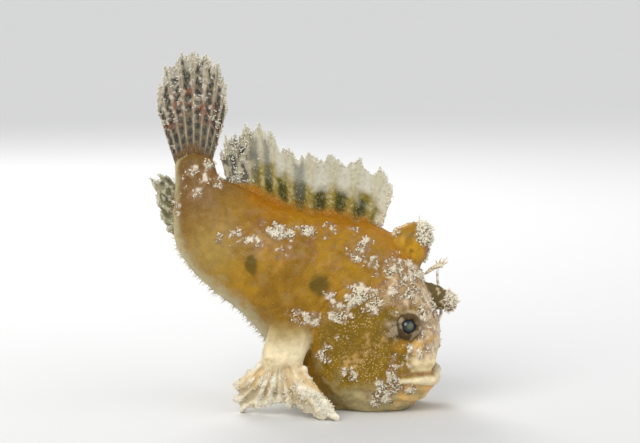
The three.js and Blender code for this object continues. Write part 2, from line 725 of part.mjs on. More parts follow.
// Pelvic fins, small five-rayed feet under the throat.
for (const { side, word } of [
  { side: RIGHT, word: "right" },
  { side: LEFT, word: "left" },
]) {
  const foot = fanOf({
    rays: 5,
    rows: 4,
    root: points([
      [6.0, side * 3.0, 3.2],
      [9.8, side * 3.2, 3.2],
    ]),
    tip: points([
      [4.6, side * 7.6, 0.6],
      [7.4, side * 8.4, 0.4],
      [10.6, side * 7.8, 0.6],
    ]),
    normal: () => v3(0, side * 0.35, 1).normalize(),
    notch: 0.2,
    web: 0.4,
    ray: 0.7,
  });
  place(standing(clearOfBody(foot)), `pelvic_fin_${word}`, whiteSkin);
}

place(standing(tufted(face, HEAD_PATCHES)), "head", yellowSkin);
place(standing(tufted(jaw.add(lip(-1)), JAW_PATCHES)), "lower_jaw", whiteSkin);
place(standing(tufted(trunk, TRUNK_PATCHES)), "trunk", yellowSkin);
place(tufted(tailStalk, STALK_PATCHES), "tail_stalk", yellowSkin);

// The box of the finished fish stands on the origin.
const box = new THREE.Box3().setFromObject(fish);
const middle = box.getCenter(v3(0, 0, 0));
fish.position.set(-middle.x, -middle.y, -box.min.z);
fish.updateMatrixWorld(true);

export default fish;
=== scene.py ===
# The looks of a young painted frogfish, life size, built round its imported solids.
# Shapes are drawn in millimetres in the fish's own plane, X along the floor, Z up, the fish's right side
# towards -Y, and become metres when a mesh is made.

import math

import bpy
import numpy as np
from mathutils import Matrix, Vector, kdtree


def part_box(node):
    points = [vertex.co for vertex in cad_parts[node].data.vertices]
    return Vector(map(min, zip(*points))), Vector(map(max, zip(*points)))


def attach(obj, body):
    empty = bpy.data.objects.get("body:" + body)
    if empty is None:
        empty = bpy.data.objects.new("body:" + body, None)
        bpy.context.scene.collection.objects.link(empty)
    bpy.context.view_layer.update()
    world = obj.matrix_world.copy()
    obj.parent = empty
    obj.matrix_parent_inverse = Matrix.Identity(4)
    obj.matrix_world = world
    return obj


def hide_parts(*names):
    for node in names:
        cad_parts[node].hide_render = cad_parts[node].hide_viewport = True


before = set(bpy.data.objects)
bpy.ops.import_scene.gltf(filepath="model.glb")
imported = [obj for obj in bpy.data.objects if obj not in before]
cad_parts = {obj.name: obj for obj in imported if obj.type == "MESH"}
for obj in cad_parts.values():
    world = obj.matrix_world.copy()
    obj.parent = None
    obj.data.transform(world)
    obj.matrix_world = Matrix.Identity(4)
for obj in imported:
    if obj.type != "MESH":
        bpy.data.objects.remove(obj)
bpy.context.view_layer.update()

MM = 0.001
RIGHT, LEFT = -1, 1
SIDES = {RIGHT: "right", LEFT: "left"}

# The drawing's place in the frame, from the middle between the two eyes.
EYES_MIDDLE = np.array([20.166, 0.005, 16.775])


def box_middle(node):
    low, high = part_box(node)
    return np.array((low + high) / 2) / MM


SHIFT = (box_middle("eye_right") + box_middle("eye_left")) / 2 - EYES_MIDDLE

# Sizes.
WRIST = 8.9  # height of the hands' roots
VOXEL = 0.28  # grain of the skin's mesh
SMOOTHING = (0.5, -0.52) * 3 + (0.4,)  # inwards and outwards by turns, so that the skin doesn't shrink
EYE_RADIUS = 1.75
EYE_OPENING = 1.22  # radius of what the lids leave open
LID_GAP = 0.07  # between the lids and the ball
SOCKET_DEPTH = 0.3  # how far the skin dips under the ball where it shows
RIM_RADIUS, RIM_THICK = 1.75, 0.6  # the ring of the lids
RIM_HEIGHT = 0.6  # how far out that ring lies, against the eye's radius
LIP, LIP_DROP = 1.3, 1.35  # the lower lip's thickness, and how far it lies under the slit
FLESHY = 0.3  # a point counts as part of a form above this share

# The body: back [x, z], belly [x, z], half width, how low the widest line lies, how boxy the section is.
STATIONS = (
    ((-19.7, 47.4), (-19.7, 47.4), (0.0, 0.0, 1.0)),
    ((-16.3, 46.2), (-23.0, 45.6), (1.7, 0.0, 1.0)),
    ((-15.3, 43.3), (-23.0, 40.9), (2.6, 0.0, 1.0)),
    ((-12.6, 41.7), (-23.6, 35.0), (3.9, 0.05, 1.0)),
    ((-9.2, 40.4), (-23.0, 30.2), (5.3, 0.08, 1.0)),
    ((-5.2, 38.2), (-20.4, 25.8), (6.8, 0.1, 1.0)),
    ((-0.4, 36.6), (-16.5, 22.2), (8.1, 0.1, 1.0)),
    ((5.2, 35.8), (-11.3, 18.1), (9.1, 0.1, 0.95)),
    ((11.0, 34.9), (-6.7, 13.4), (9.7, 0.08, 0.95)),
    ((15.8, 33.4), (-2.7, 7.1), (9.9, 0.05, 0.92)),
    ((19.0, 30.8), (2.0, 1.0), (10.1, 0.04, 0.9)),
    ((21.5, 27.0), (8.4, -0.8), (10.1, 0.02, 0.88)),
    ((23.3, 22.8), (14.0, -0.8), (9.7, 0.02, 0.86)),
    ((24.9, 18.4), (18.6, -0.1), (8.8, 0.0, 0.84)),
    ((25.8, 14.8), (21.7, 1.6), (7.8, 0.0, 0.82)),
    ((25.6, 11.6), (24.1, 3.8), (7.0, 0.0, 0.8)),
    ((24.7, 9.6), (25.3, 6.2), (6.3, 0.0, 0.8)),
    ((23.2, 8.6), (23.8, 7.5), (5.6, 0.0, 0.9)),
    ((20.8, 8.1), (20.8, 8.1), (0.0, 0.0, 1.0)),
)
CHEEK = {"x": 14.6, "z": 12.0, "rx": 11.6, "rz": 12.8, "rise": 1.1}
EYE = {"x": 20.6, "z": 16.9}
MOUTH = {"x": 14.5, "z": 8.1, "long": 12.6, "wide": 8.9, "thin": 0.15, "gape": 0.3}
NOSTRILS = ((23.3, 19.8, 0.45, 1.1), (23.7, 17.7, 0.5, 0.5))  # x, z, radius, height


# Numbers.
def smooth(low, high, value):
    share = np.clip((value - low) / (high - low), 0, 1)
    return share * share * (3 - 2 * share)


def mix(a, b, share):
    return a + (b - a) * share


def unit(vectors):
    return vectors / np.maximum(np.linalg.norm(vectors, axis=-1, keepdims=True), 1e-9)


def dome(u):
    return np.sqrt(np.maximum(0.1, 1 - np.maximum(0, (u - 0.72) / 0.28) ** 2))


def lattice(place):
    """Smooth values from -1 to 1 between the corners of a unit grid."""
    cell = np.floor(place).astype(np.int64)
    share = place - cell
    share = share**3 * (share * (share * 6 - 15) + 10)
    total = np.zeros(place.shape[:-1])
    for corner in np.ndindex(2, 2, 2):
        at = cell + np.array(corner)
        mixed = (at[..., 0] * 374761393 + at[..., 1] * 668265263 + at[..., 2] * 974634777) & 0xFFFFFFFF
        mixed = ((mixed ^ (mixed >> 13)) * 1274126177) & 0xFFFFFFFF
        value = ((mixed ^ (mixed >> 16)) & 0xFFFF) / 32767.5 - 1
        weight = np.prod(np.where(np.array(corner) == 1, share, 1 - share), axis=-1)
        total += value * weight
    return total


# Two turned grids, added up so that no grain follows the axes.
TURNS = (
    np.array([[0.36, 0.48, -0.8], [-0.8, 0.6, 0.0], [0.48, 0.64, 0.6]]),
    np.array([[0.6, 0.0, 0.8], [0.64, 0.6, -0.48], [-0.48, 0.8, 0.36]]),
)


def noise(points, size, seed):
    """Smooth noise from about -1 to 1 with grains of about that size."""
    points = np.asarray(points, float) / size
    return 0.8 * sum(lattice(points @ turn + 37.7 * seed + 100 + 50 * k) for k, turn in enumerate(TURNS))


def rough(points, size, seed):
    """Noise with finer grains on coarser ones."""
    total = sum(noise(points, size / 2**k, seed + 11 * k) / 2**k for k in range(3))
    return total / 1.4


class Line:
    """A smooth line through points, the kind that the solids are drawn with."""

    def __init__(self, points):
        points = np.array(points, float)
        before = 2 * points[0] - points[1]
        after = 2 * points[-1] - points[-2]
        self.points = np.vstack([before, points, after])

    def at(self, share):
        share = np.clip(np.asarray(share, float), 0, 1)
        spans = len(self.points) - 3
        place = share * spans
        i = np.minimum(place.astype(int), spans - 1)
        w = (place - i)[..., None]
        p0, p1, p2, p3 = (self.points[i + k] for k in range(4))
        d0, d1, d2 = (((b - a) ** 2).sum(-1)[..., None] ** 0.25 for a, b in ((p0, p1), (p1, p2), (p2, p3)))
        d1 = np.where(d1 < 1e-4, 1, d1)
        d0 = np.where(d0 < 1e-4, d1, d0)
        d2 = np.where(d2 < 1e-4, d1, d2)
        leave = ((p1 - p0) / d0 - (p2 - p0) / (d0 + d1) + (p2 - p1) / d1) * d1
        arrive = ((p2 - p1) / d1 - (p3 - p1) / (d1 + d2) + (p3 - p2) / d2) * d1
        cubic = 2 * p1 - 2 * p2 + leave + arrive
        square = 3 * (p2 - p1) - 2 * leave - arrive
        return p1 + leave * w + square * w**2 + cubic * w**3

    def direction(self, share):
        share = np.asarray(share, float)
        return unit(self.at(share + 1e-3) - self.at(share - 1e-3))


# Closed shells: points in the drawing and faces.
def volume(points, faces):
    total = 0.0
    for face in faces:
        a = points[face[0]]
        for b, c in zip(face[1:-1], face[2:]):
            total += np.dot(a, np.cross(points[b], points[c]))
    return total / 6


def outwards(points, faces):
    if volume(points, faces) < 0:
        faces = [face[::-1] for face in faces]
    return points, faces


def tube(rings):
    """A closed tube through rings of points, [row, around, xyz], each end closed by a fan."""
    rows, around = rings.shape[:2]
    points = [*rings.reshape(-1, 3), rings[0].mean(0), rings[-1].mean(0)]
    first, last = rows * around, rows * around + 1
    faces = []
    for k in range(around):
        n = (k + 1) % around
        for r in range(rows - 1):
            faces.append((r * around + k, r * around + n, (r + 1) * around + n, (r + 1) * around + k))
        faces.append((first, n, k))
        faces.append((last, (rows - 1) * around + k, (rows - 1) * around + n))
    return outwards(np.array(points), faces)


def slab(front, back):
    """A closed sheet between two grids of points, [column, row, xyz]."""
    columns, rows = front.shape[:2]
    points = np.concatenate([front.reshape(-1, 3), back.reshape(-1, 3)])
    other = columns * rows
    faces = []
    for c in range(columns - 1):
        for r in range(rows - 1):
            a, b = c * rows + r, (c + 1) * rows + r
            faces.append((a, b, b + 1, a + 1))
            faces.append((other + a, other + a + 1, other + b + 1, other + b))
    edge = [c * rows for c in range(columns)]
    edge += [(columns - 1) * rows + r for r in range(1, rows)]
    edge += [c * rows + rows - 1 for c in range(columns - 2, -1, -1)]
    edge += [r for r in range(rows - 2, 0, -1)]
    for a, b in zip(edge, edge[1:] + edge[:1]):
        faces.append((a, other + a, other + b, b))
    return outwards(points, faces)


def join(shells):
    points, faces, start = [], [], 0
    for shell_points, shell_faces in shells:
        points.append(shell_points)
        faces += [tuple(i + start for i in face) for face in shell_faces]
        start += len(shell_points)
    return np.concatenate(points), faces


def mesh_of(name, points, faces):
    """A smooth Blender mesh in metres from points in the drawing."""
    mesh = bpy.data.meshes.new(name)
    mesh.from_pydata(((np.asarray(points) + SHIFT) * MM).tolist(), [], faces)
    mesh.shade_smooth()
    return mesh


def show(mesh, *finishes):
    """Puts a mesh with its finishes into the scene."""
    for finish in finishes:
        mesh.materials.append(finish)
    piece = bpy.data.objects.new(mesh.name, mesh)
    bpy.context.scene.collection.objects.link(piece)
    return piece


def evaluated(piece):
    """An object with its modifiers, as a plain mesh."""
    return bpy.data.meshes.new_from_object(piece.evaluated_get(bpy.context.evaluated_depsgraph_get()))


def store(mesh, name, values, kind="FLOAT"):
    """Keeps a value of each point on the mesh: FLOAT, FLOAT_VECTOR or FLOAT_COLOR."""
    attribute = mesh.attributes.new(name, kind, "POINT")
    values = np.asarray(values, np.float32)
    field = {"FLOAT": "value", "FLOAT_VECTOR": "vector", "FLOAT_COLOR": "color"}[kind]
    if kind == "FLOAT_COLOR":
        values = np.concatenate([values, np.ones((len(values), 1), np.float32)], axis=1)
    attribute.data.foreach_set(field, np.ascontiguousarray(values).ravel())


def points_of(mesh):
    """A mesh's points in the drawing."""
    values = np.zeros(len(mesh.vertices) * 3, np.float32)
    mesh.vertices.foreach_get("co", values)
    return values.reshape(-1, 3).astype(float) / MM - SHIFT


def set_points(mesh, points):
    mesh.vertices.foreach_set("co", ((points + SHIFT) * MM).astype(np.float32).ravel())
    mesh.update()


def normals_of(mesh):
    values = np.zeros(len(mesh.vertices) * 3, np.float32)
    mesh.vertex_normals.foreach_get("vector", values)
    return values.reshape(-1, 3).astype(float)


def nearest(points, marks):
    """The number of the mark that lies nearest to each point."""
    tree = kdtree.KDTree(len(marks))
    for i, mark in enumerate(marks):
        tree.insert(mark, i)
    tree.balance()
    return np.array([tree.find(point)[1] for point in points])


# The body's surface.
back_line = Line([(back[0], 0, back[1]) for back, belly, form in STATIONS])
belly_line = Line([(belly[0], 0, belly[1]) for back, belly, form in STATIONS])
form_line = Line([form for back, belly, form in STATIONS])


def from_cheek(x, z):
    """0 in the middle of the cheek, 1 at its edge."""
    return np.hypot((x - CHEEK["x"]) / CHEEK["rx"], (z - CHEEK["z"]) / CHEEK["rz"])


def cheek_rise(x, z):
    return CHEEK["rise"] * (1 - smooth(0.86, 1.01, from_cheek(x, z))) * (1 - smooth(9, 20, x))


def eye_rise(x, z):
    return 0.8 * np.exp(-((np.hypot(x - EYE["x"], z - EYE["z"]) / 3.2) ** 2))


def body_at(t, angle):
    """Points of the body: t runs from tail to mouth, angle from the back round the left side."""
    back, belly, form = back_line.at(t), belly_line.at(t), form_line.at(t)
    half, low, round_ = form[..., 0], form[..., 1], form[..., 2]
    up, out = np.cos(angle), np.sin(angle)
    along = np.sign(up) * np.abs(up) ** round_
    across = np.sign(out) * np.abs(out) ** round_
    middle, spread = (back + belly) / 2, (back - belly) / 2
    point = middle + spread * along[..., None]
    wide = np.maximum(half, 0.1) * (1 - low * up)
    rise = (cheek_rise(point[..., 0], point[..., 2]) + eye_rise(point[..., 0], point[..., 2])) * np.abs(out)
    point[..., 1] = across * wide + np.sign(out) * rise
    return point


BODY_ROWS, BODY_AROUND = 230, 180
body_t = np.linspace(0, 1, BODY_ROWS + 1)[1:-1]
body_angle = np.linspace(0, 2 * math.pi, BODY_AROUND, endpoint=False)
body_grid = body_at(*np.meshgrid(body_t, body_angle, indexing="ij"))


def grid_normals(grid):
    around = np.roll(grid, -1, axis=1) - np.roll(grid, 1, axis=1)
    along = np.gradient(grid, axis=0)
    return unit(np.cross(around, along))


body_normals = grid_normals(body_grid)
if (body_normals[:, BODY_AROUND // 4, 1]).mean() < 0:
    body_normals = -body_normals


def on_flank(x, z, side):
    """The point of the flank seen at x, z from that side, and its outward direction."""
    cost = (body_grid[..., 0] - x) ** 2 + (body_grid[..., 2] - z) ** 2
    cost = np.where(body_grid[..., 1] * side > 0.5, cost, 1e9)
    at = np.unravel_index(cost.argmin(), cost.shape)
    return body_grid[at], body_normals[at]


def gape_at(x):
    return MOUTH["thin"] + MOUTH["gape"] * smooth(20.5, 26, x)


def mouth_shell():
    """The oval slit of the mouth, open like a wedge at the front."""
    rows, around = 40, 64
    turn = np.linspace(0, 2 * math.pi, around, endpoint=False)
    rise = np.linspace(-0.97, 0.97, rows) * math.pi / 2
    spread, lift = np.cos(rise), np.sin(rise)
    x = MOUTH["x"] + MOUTH["long"] * spread[:, None] * np.cos(turn)
    y = MOUTH["wide"] * spread[:, None] * np.sin(turn)
    z = MOUTH["z"] + np.sign(lift[:, None]) * np.abs(lift[:, None]) ** 0.6 * gape_at(x)
    return tube(np.stack([x, y, z], axis=-1))


# Limbs and spines: oval sections along a line.
def limb(line, across, through, axis, rows=40, around=28):
    u = np.linspace(0, 1, rows)
    turn = np.linspace(0, 2 * math.pi, around, endpoint=False)
    ahead = line.direction(u)
    thick = unit(np.cross(ahead, np.array(axis, float)))
    wide = unit(np.cross(thick, ahead))
    sine, cosine = np.sin(turn)[None, :, None], np.cos(turn)[None, :, None]
    rings = line.at(u)[:, None] + wide[:, None] * sine * across(u)[:, None, None]
    return tube(rings + thick[:, None] * cosine * through(u)[:, None, None])


SECOND = {
    "line": Line([(20, 0, 21.6), (23.5, 0, 21.2), (26.2, 0, 20.6), (28.6, 0, 19.3)]),
    "across": lambda u: (3.0 - 1.6 * u) * dome(u),
    "through": lambda u: (1.7 - 0.7 * u) * dome(u),
    "axis": (0, 0, 1),
}
THIRD = {
    "line": Line([(14.4, 0, 22.6), (17.6, 0, 27.6), (20.9, 0, 31.5), (23.4, 0, 34.0)]),
    "across": lambda u: (5.0 - 2.6 * u) * dome(u),
    "through": lambda u: (6.2 - 4.1 * u) * dome(u),
    "axis": (0, 1, 0),
}


def arm_line(side, elbow, step):
    return Line([
        (0.4, side * 5.4, 18.6),
        (-1.0 + elbow, side * 8.6, 14.8),
        (-2.2 + elbow * 0.5 + step * 0.5, side * 10.9, 11.0),
        (-2.3 + step, side * 11.5, 7.0),
    ])


ARMS = ((RIGHT, 0.0, 0.0), (LEFT, -1.6, 2.6))  # side, how far the elbow and the hand are set along X


def hand_fan(side, step):
    root = Line([
        (-5.5 + step, side * 11.0, WRIST + 0.9),
        (-2.3 + step, side * 11.7, WRIST + 1.0),
        (0.9 + step, side * 11.9, WRIST + 0.9),
    ])
    tip = Line([
        (-10.6 + step, side * 9.6, 5.2),
        (-10.7 + step, side * 8.9, 2.8),
        (-10.0 + step, side * 8.4, 0.6),
        (-7.2 + step, side * 9.4, 1.4),
        (-4.2 + step, side * 10.6, 2.6),
        (-0.7 + step, side * 11.8, 2.8),
        (2.4 + step, side * 13.0, 1.4),
        (5.6 + step, side * 14.0, 0.5),
        (7.9 + step, side * 14.6, 0.6),
    ])

    def normal(v):
        v = np.asarray(v, float)
        return unit(np.stack([-0.19 + 0 * v, side * 0.97 + 0 * v, -0.2 + 0.25 * v], axis=-1))

    return {"rays": 9, "root": root, "tip": tip, "normal": normal, "notch": 0.07,
            "bend": lambda u, v: 0.8 * np.sin(math.pi * u)}


def foot_fan(side):
    normal = unit(np.array([0, side * 0.35, 1.0]))
    return {
        "rays": 5,
        "root": Line([(6.0, side * 3.0, 3.2), (9.8, side * 3.2, 3.2)]),
        "tip": Line([(4.6, side * 4.8, 0.9), (7.4, side * 5.4, 0.8), (10.6, side * 5.0, 0.9)]),
        "normal": lambda v: np.broadcast_to(normal, np.shape(v) + (3,)),
        "notch": 0.25,
        "bend": lambda u, v: 0 * u,
    }


def fan_points(fan, v, reach):
    """Points on the middle of a fin: v runs across its rays, reach from root to tip."""
    root, tip = fan["root"].at(v), fan["tip"].at(v)
    return root + (tip - root) * reach[..., None] + fan["normal"](v) * fan["bend"](reach, v)[..., None]


def fan_shell(fan, web, ray, tip, width=0.16, per_ray=12, rows=36):
    """A fleshy fan for the skin, with a ridge along each ray."""
    v, u = np.meshgrid(np.linspace(0, 1, (fan["rays"] - 1) * per_ray + 1), np.linspace(0, 1, rows), indexing="ij")
    place = v * (fan["rays"] - 1)
    off = np.abs(place - np.round(place))
    reach = u * (1 - fan["notch"] * smooth(0.02, 0.5, off) * smooth(0.3, 1, u))
    ridge = np.exp(-((off / width) ** 2))
    half = mix(web, tip, u) + (mix(ray, tip * 1.5, u) - mix(web, tip, u)) * ridge
    middle = fan_points(fan, v, reach)
    out = fan["normal"](v) * half[..., None]
    return slab(middle + out, middle - out)


def fingers(fan, radius, tip, longer, seed):
    """Knobbly rays along a hand, each a little past the web."""
    shells = []
    for i in range(fan["rays"]):
        v = np.full(24, i / (fan["rays"] - 1))
        u = np.linspace(0.05, 1 + longer, 24)
        points = fan_points(fan, v, u)
        points[:, 1] += 0.12 * noise(points, 2.0, seed + i)
        line = Line(points)
        knob = lambda s: 1 + 0.16 * np.sin(s * 19 + 1.7 * i)
        across = lambda s: mix(radius, tip, s) * knob(s) * dome(s)
        shells.append(limb(line, across, across, (0.3, 0.2, 1), rows=40, around=12))
    return shells


def lower_lip():
    """A soft bar along the mouth's lower edge, thickest at the front."""
    azimuth = np.radians(np.linspace(-66, 66, 21))
    height = MOUTH["z"] - LIP_DROP
    inside = np.abs(body_grid[..., 2] - height) < 0.35
    points = []
    for a in azimuth:
        ray = np.array([math.cos(a), math.sin(a)])
        ahead = (body_grid[..., 0] - MOUTH["x"]) * ray[0] + body_grid[..., 1] * ray[1]
        cost = np.abs((body_grid[..., 0] - MOUTH["x"]) * ray[1] - body_grid[..., 1] * ray[0])
        cost = np.where(inside & (ahead > 2), cost, 1e9)
        found = body_grid.reshape(-1, 3)[np.argsort(cost.ravel())[:6]]
        x, y = found[:, 0].mean(), found[:, 1].mean()
        points.append((x + 0.1 * ray[0], y + 0.1 * ray[1], height))
    slim = lambda u: 1 - 0.3 * np.exp(-(((u - 0.5) / 0.3) ** 2))
    thick = lambda u: LIP * (0.3 + 0.75 * np.sin(math.pi * u) ** 1.3) * slim(u)
    points = np.array(points)
    points[1:-1] = (points[:-2] + 2 * points[1:-1] + points[2:]) / 4
    return limb(Line(points), thick, thick, (0, 0, 1), rows=80, around=16)


def square_to(normal):
    """Two directions square to a normal and to each other."""
    side = unit(np.cross(normal, (0.1, 0.2, 1.0)))
    return side, np.cross(side, normal)


def ring(centre, normal, radius, thick):
    """A closed ring round a normal."""
    around, sides = 48, 14
    turn = np.linspace(0, 2 * math.pi, around, endpoint=False)
    side, up = square_to(normal)
    out = side * np.cos(turn)[:, None] + up * np.sin(turn)[:, None]
    section = np.linspace(0, 2 * math.pi, sides, endpoint=False)
    rings = centre + out[:, None] * (radius + thick * np.cos(section))[None, :, None]
    rings = rings + np.array(normal) * (thick * np.sin(section))[None, :, None]
    points = rings.reshape(-1, 3)
    faces = []
    for r in range(around):
        n = (r + 1) % around
        for k in range(sides):
            m = (k + 1) % sides
            faces.append((r * sides + k, n * sides + k, n * sides + m, r * sides + m))
    return outwards(points, faces)


def nostril(x, z, side, radius, height):
    point, normal = on_flank(x, z, side)
    line = Line([point - normal * 0.8, point, point + normal * height])
    size = lambda u: radius * (1.25 - 0.35 * u)
    return limb(line, size, size, (0, 0.3, 1), rows=12, around=14)


def eye_place(side):
    point, normal = on_flank(EYE["x"], EYE["z"], side)
    return box_middle(f"eye_{SIDES[side]}") - SHIFT, normal


# The skin: every fleshy form, joined and remeshed into one seamless surface.
def cut_body():
    """The body with its mouth cut open."""
    body = show(mesh_of("body", *tube(body_grid)))
    mouth = show(mesh_of("mouth", *mouth_shell()))
    cut = body.modifiers.new("mouth", "BOOLEAN")
    cut.operation, cut.solver, cut.object = "DIFFERENCE", "EXACT", mouth
    made = evaluated(body)
    for piece in (body, mouth):
        bpy.data.objects.remove(piece)
    return points_of(made), [tuple(face.vertices) for face in made.polygons]


def fleshy_parts():
    """Every form that the skin is drawn over: its name and its closed shell."""
    parts = [("body", cut_body()), ("lower_lip", lower_lip())]
    for side in SIDES:
        centre, normal = eye_place(side)
        parts.append(("rim", ring(centre + normal * EYE_RADIUS * RIM_HEIGHT, normal, RIM_RADIUS, RIM_THICK)))
        parts += [("nostril", nostril(x, z, side, radius, height)) for x, z, radius, height in NOSTRILS]
        parts.append(("foot", fan_shell(foot_fan(side), web=0.45, ray=0.75, tip=0.3, per_ray=10, rows=24)))
    across = lambda u: mix(4.7, 3.8, u) - 0.3 * np.sin(math.pi * u)
    through = lambda u: 2.9 - 2.1 * u**3
    for side, elbow, step in ARMS:
        fan = hand_fan(side, step)
        parts.append(("arm", limb(arm_line(side, elbow, step), across, through, (1, 0, 0))))
        parts.append(("hand", fan_shell(fan, web=0.8, ray=1.05, tip=0.5, width=0.2)))
        parts += [("hand", finger) for finger in fingers(fan, radius=0.85, tip=0.8, longer=0.03, seed=5)]
    return [*parts, ("second", limb(**SECOND)), ("third", limb(**THIRD))]


def remeshed(shells):
    piece = show(mesh_of("rough_skin", *join(shells)))
    remesh = piece.modifiers.new("remesh", "REMESH")
    remesh.mode, remesh.voxel_size = "VOXEL", VOXEL * MM
    made = evaluated(piece)
    bpy.data.objects.remove(piece)
    return made


PARTS = fleshy_parts()
skin = remeshed([shell for name, shell in PARTS])
skin.name = "skin"
skin_points = points_of(skin)
edges = np.zeros(len(skin.edges) * 2, np.int64)
skin.edges.foreach_get("vertices", edges)
edges = edges.reshape(-1, 2)
links = np.bincount(edges.ravel(), minlength=len(skin_points))[:, None]


def relaxed(values, rounds=1, share=0.5):
    """Each value moves towards the mean of its neighbours, or away from it where the share is below 0."""
    for _ in range(rounds):
        total = np.zeros_like(values)
        np.add.at(total, edges[:, 0], values[edges[:, 1]])
        np.add.at(total, edges[:, 1], values[edges[:, 0]])
        values = mix(values, total / links, share)
    return values


for step in SMOOTHING:
    skin_points = relaxed(skin_points, share=step)

# Which form each point of the skin belongs to, and its place along and round the body.
part_points = np.concatenate([shell[0] for name, shell in PARTS])
part_names = np.concatenate([np.full(len(shell[0]), name, dtype=object) for name, shell in PARTS])
skin_part = part_names[nearest(skin_points, part_points)]
body_near = nearest(skin_points, body_grid.reshape(-1, 3))
skin_t, skin_turn = body_t[body_near // BODY_AROUND], body_angle[body_near % BODY_AROUND]


def part_mask(name, rounds=3):
    """1 on a form, fading to 0 over its border."""
    return relaxed((skin_part == name).astype(float)[:, None], rounds)[:, 0]


on_body, on_lip, on_foot = part_mask("body"), part_mask("lower_lip"), part_mask("foot")
on_rim, on_arm, on_hand = part_mask("rim", 2), part_mask("arm", 5), part_mask("hand", 4)
on_second, on_third = part_mask("second", 4), part_mask("third", 4)


def grains(size, seed):
    """Noise over the skin as it stands."""
    return noise(skin_points, size, seed)


def clouds(size, seed):
    """Noise of several sizes over the skin as it stands."""
    return rough(skin_points, size, seed)


# Places on the skin, before it gets its relief.
X, Y, Z = skin_points.T
FLANK = np.abs(Y)
EYE_FAR = np.hypot(X - EYE["x"], Z - EYE["z"])
EYE_TURN = np.arctan2(Z - EYE["z"], X - EYE["x"])
EYE_SPOKES = np.sin(EYE_TURN * 13 + 0.8 * np.sin(3 * EYE_TURN))
CHEEK_FAR = from_cheek(X, Z)
FACE = smooth(20.5, 23.0, X) * smooth(9.5, 12.0, Z)
# How far the edges of marks wander along X and Z.
DRIFT = [1.3 * grains(2.6, 101 + k) + 0.7 * grains(1.0, 103 + k) for k in range(2)]
# Ridges on the hands run from the wrist out to the fingers. The left hand is set forward.
HAND_X, HAND_Z, LEFT_STEP = -2.2, 13.5, 1.6
hand_turn = np.arctan2(X - HAND_X - np.where(Y > 0, LEFT_STEP, 0.0), HAND_Z - Z)
hand_flow = np.column_stack([9.0 * hand_turn, 0.3 * Z, 0.35 * Y])
hand_ridges = noise(hand_flow, 0.7, 12)


def blob(x, z, rx, rz, tilt=0.0, soft=0.35, wobble=0.3, seed=0):
    """A patch on both flanks, an oval seen from the side with a wandering edge."""
    cosine, sine = math.cos(math.radians(tilt)), math.sin(math.radians(tilt))
    dx, dz = X - x + wobble * DRIFT[0], Z - z + wobble * DRIFT[1]
    reach = np.hypot((dx * cosine + dz * sine) / rx, (dz * cosine - dx * sine) / rz)
    reach = reach + 0.6 * wobble * clouds(1.4, seed + 3)
    return 1 - smooth(1 - soft, 1 + soft, reach)


# Crusty patches, where short white cirri crowd together: x, z, radius across and up, tilt, how thick they stand.
CRUSTS = (
    (11.2, 22.5, 4.1, 2.2, -10, 1.0), (8.9, 19.0, 1.7, 1.5, 0, 1.0), (14.9, 20.6, 1.3, 1.6, 0, 0.8),
    (19.6, 24.2, 3.0, 4.0, 0, 0.95), (23.6, 19.3, 1.6, 2.4, 0, 0.8), (17.6, 28.6, 1.8, 1.2, 0, 0.4),
    (15.6, 4.3, 1.7, 2.1, 0, 1.0), (18.3, 7.0, 1.1, 2.8, -15, 0.9), (20.6, 5.4, 0.9, 1.2, 0, 0.7),
    (5.0, 11.0, 0.8, 1.0, 20, 1.0), (9.5, 8.3, 1.1, 0.8, 20, 1.0), (7.0, 15.7, 0.6, 0.6, 0, 0.8),
    (5.4, 13.2, 0.5, 0.6, 0, 0.8), (2.2, 18.2, 2.9, 1.5, -10, 0.75), (22.6, 12.8, 0.5, 1.6, 0, 0.8),
    (-14.2, 32.8, 0.9, 0.9, 0, 0.6), (-10.3, 32.8, 1.3, 1.1, 0, 0.9), (-7.5, 31.5, 1.2, 1.1, 0, 0.7),
    (-2.9, 33.4, 2.0, 1.2, 0, 0.9), (-2.6, 30.0, 1.5, 1.4, 0, 0.9), (2.8, 33.7, 1.9, 1.1, -30, 1.0),
    (12.0, 30.4, 1.6, 3.4, 20, 0.7), (-5.6, 34.0, 1.0, 0.8, 0, 0.5), (6.6, 34.2, 1.2, 0.7, 0, 0.5),
    (-19.6, 41.0, 1.9, 1.5, 0, 0.8), (-15.2, 42.0, 0.9, 1.0, 0, 0.7), (-18.6, 44.0, 2.6, 1.5, 0, 0.75),
    (-22.0, 37.5, 0.8, 2.4, 0, 0.5), (23.0, 16.0, 1.9, 2.2, 0, 0.42), (24.5, 13.4, 1.0, 2.2, 0, 0.3),
    (20.7, 12.0, 0.5, 2.4, 0, 0.75), (18.7, 10.4, 1.4, 0.9, 20, 0.7), (-16.4, 44.4, 1.4, 1.0, 0, 0.8),
)
patches = np.maximum.reduce([
    thick * blob(x, z, rx, rz, tilt, seed=k, wobble=0.7, soft=0.45)
    for k, (x, z, rx, rz, tilt, thick) in enumerate(CRUSTS)
])
patches = patches * np.maximum(on_body, on_arm) * smooth(-0.45, 0.15, clouds(1.5, 43))
third_top = on_third * (1 - smooth(1.7, 2.7, np.hypot(X - 23.3, Z - 32.9) + 0.9 * clouds(2.0, 40)))
third_edges = np.maximum(blob(24.0, 28.4, 0.9, 3.0, wobble=0.4, seed=47),
                         0.5 * blob(16.4, 32.6, 3.0, 1.0, 30, seed=48))
second_tip = on_second * smooth(26.2, 27.6, X + 0.6 * clouds(1.2, 41))
crust = np.maximum.reduce([patches, third_top, 0.8 * (on_third * third_edges), second_tip])


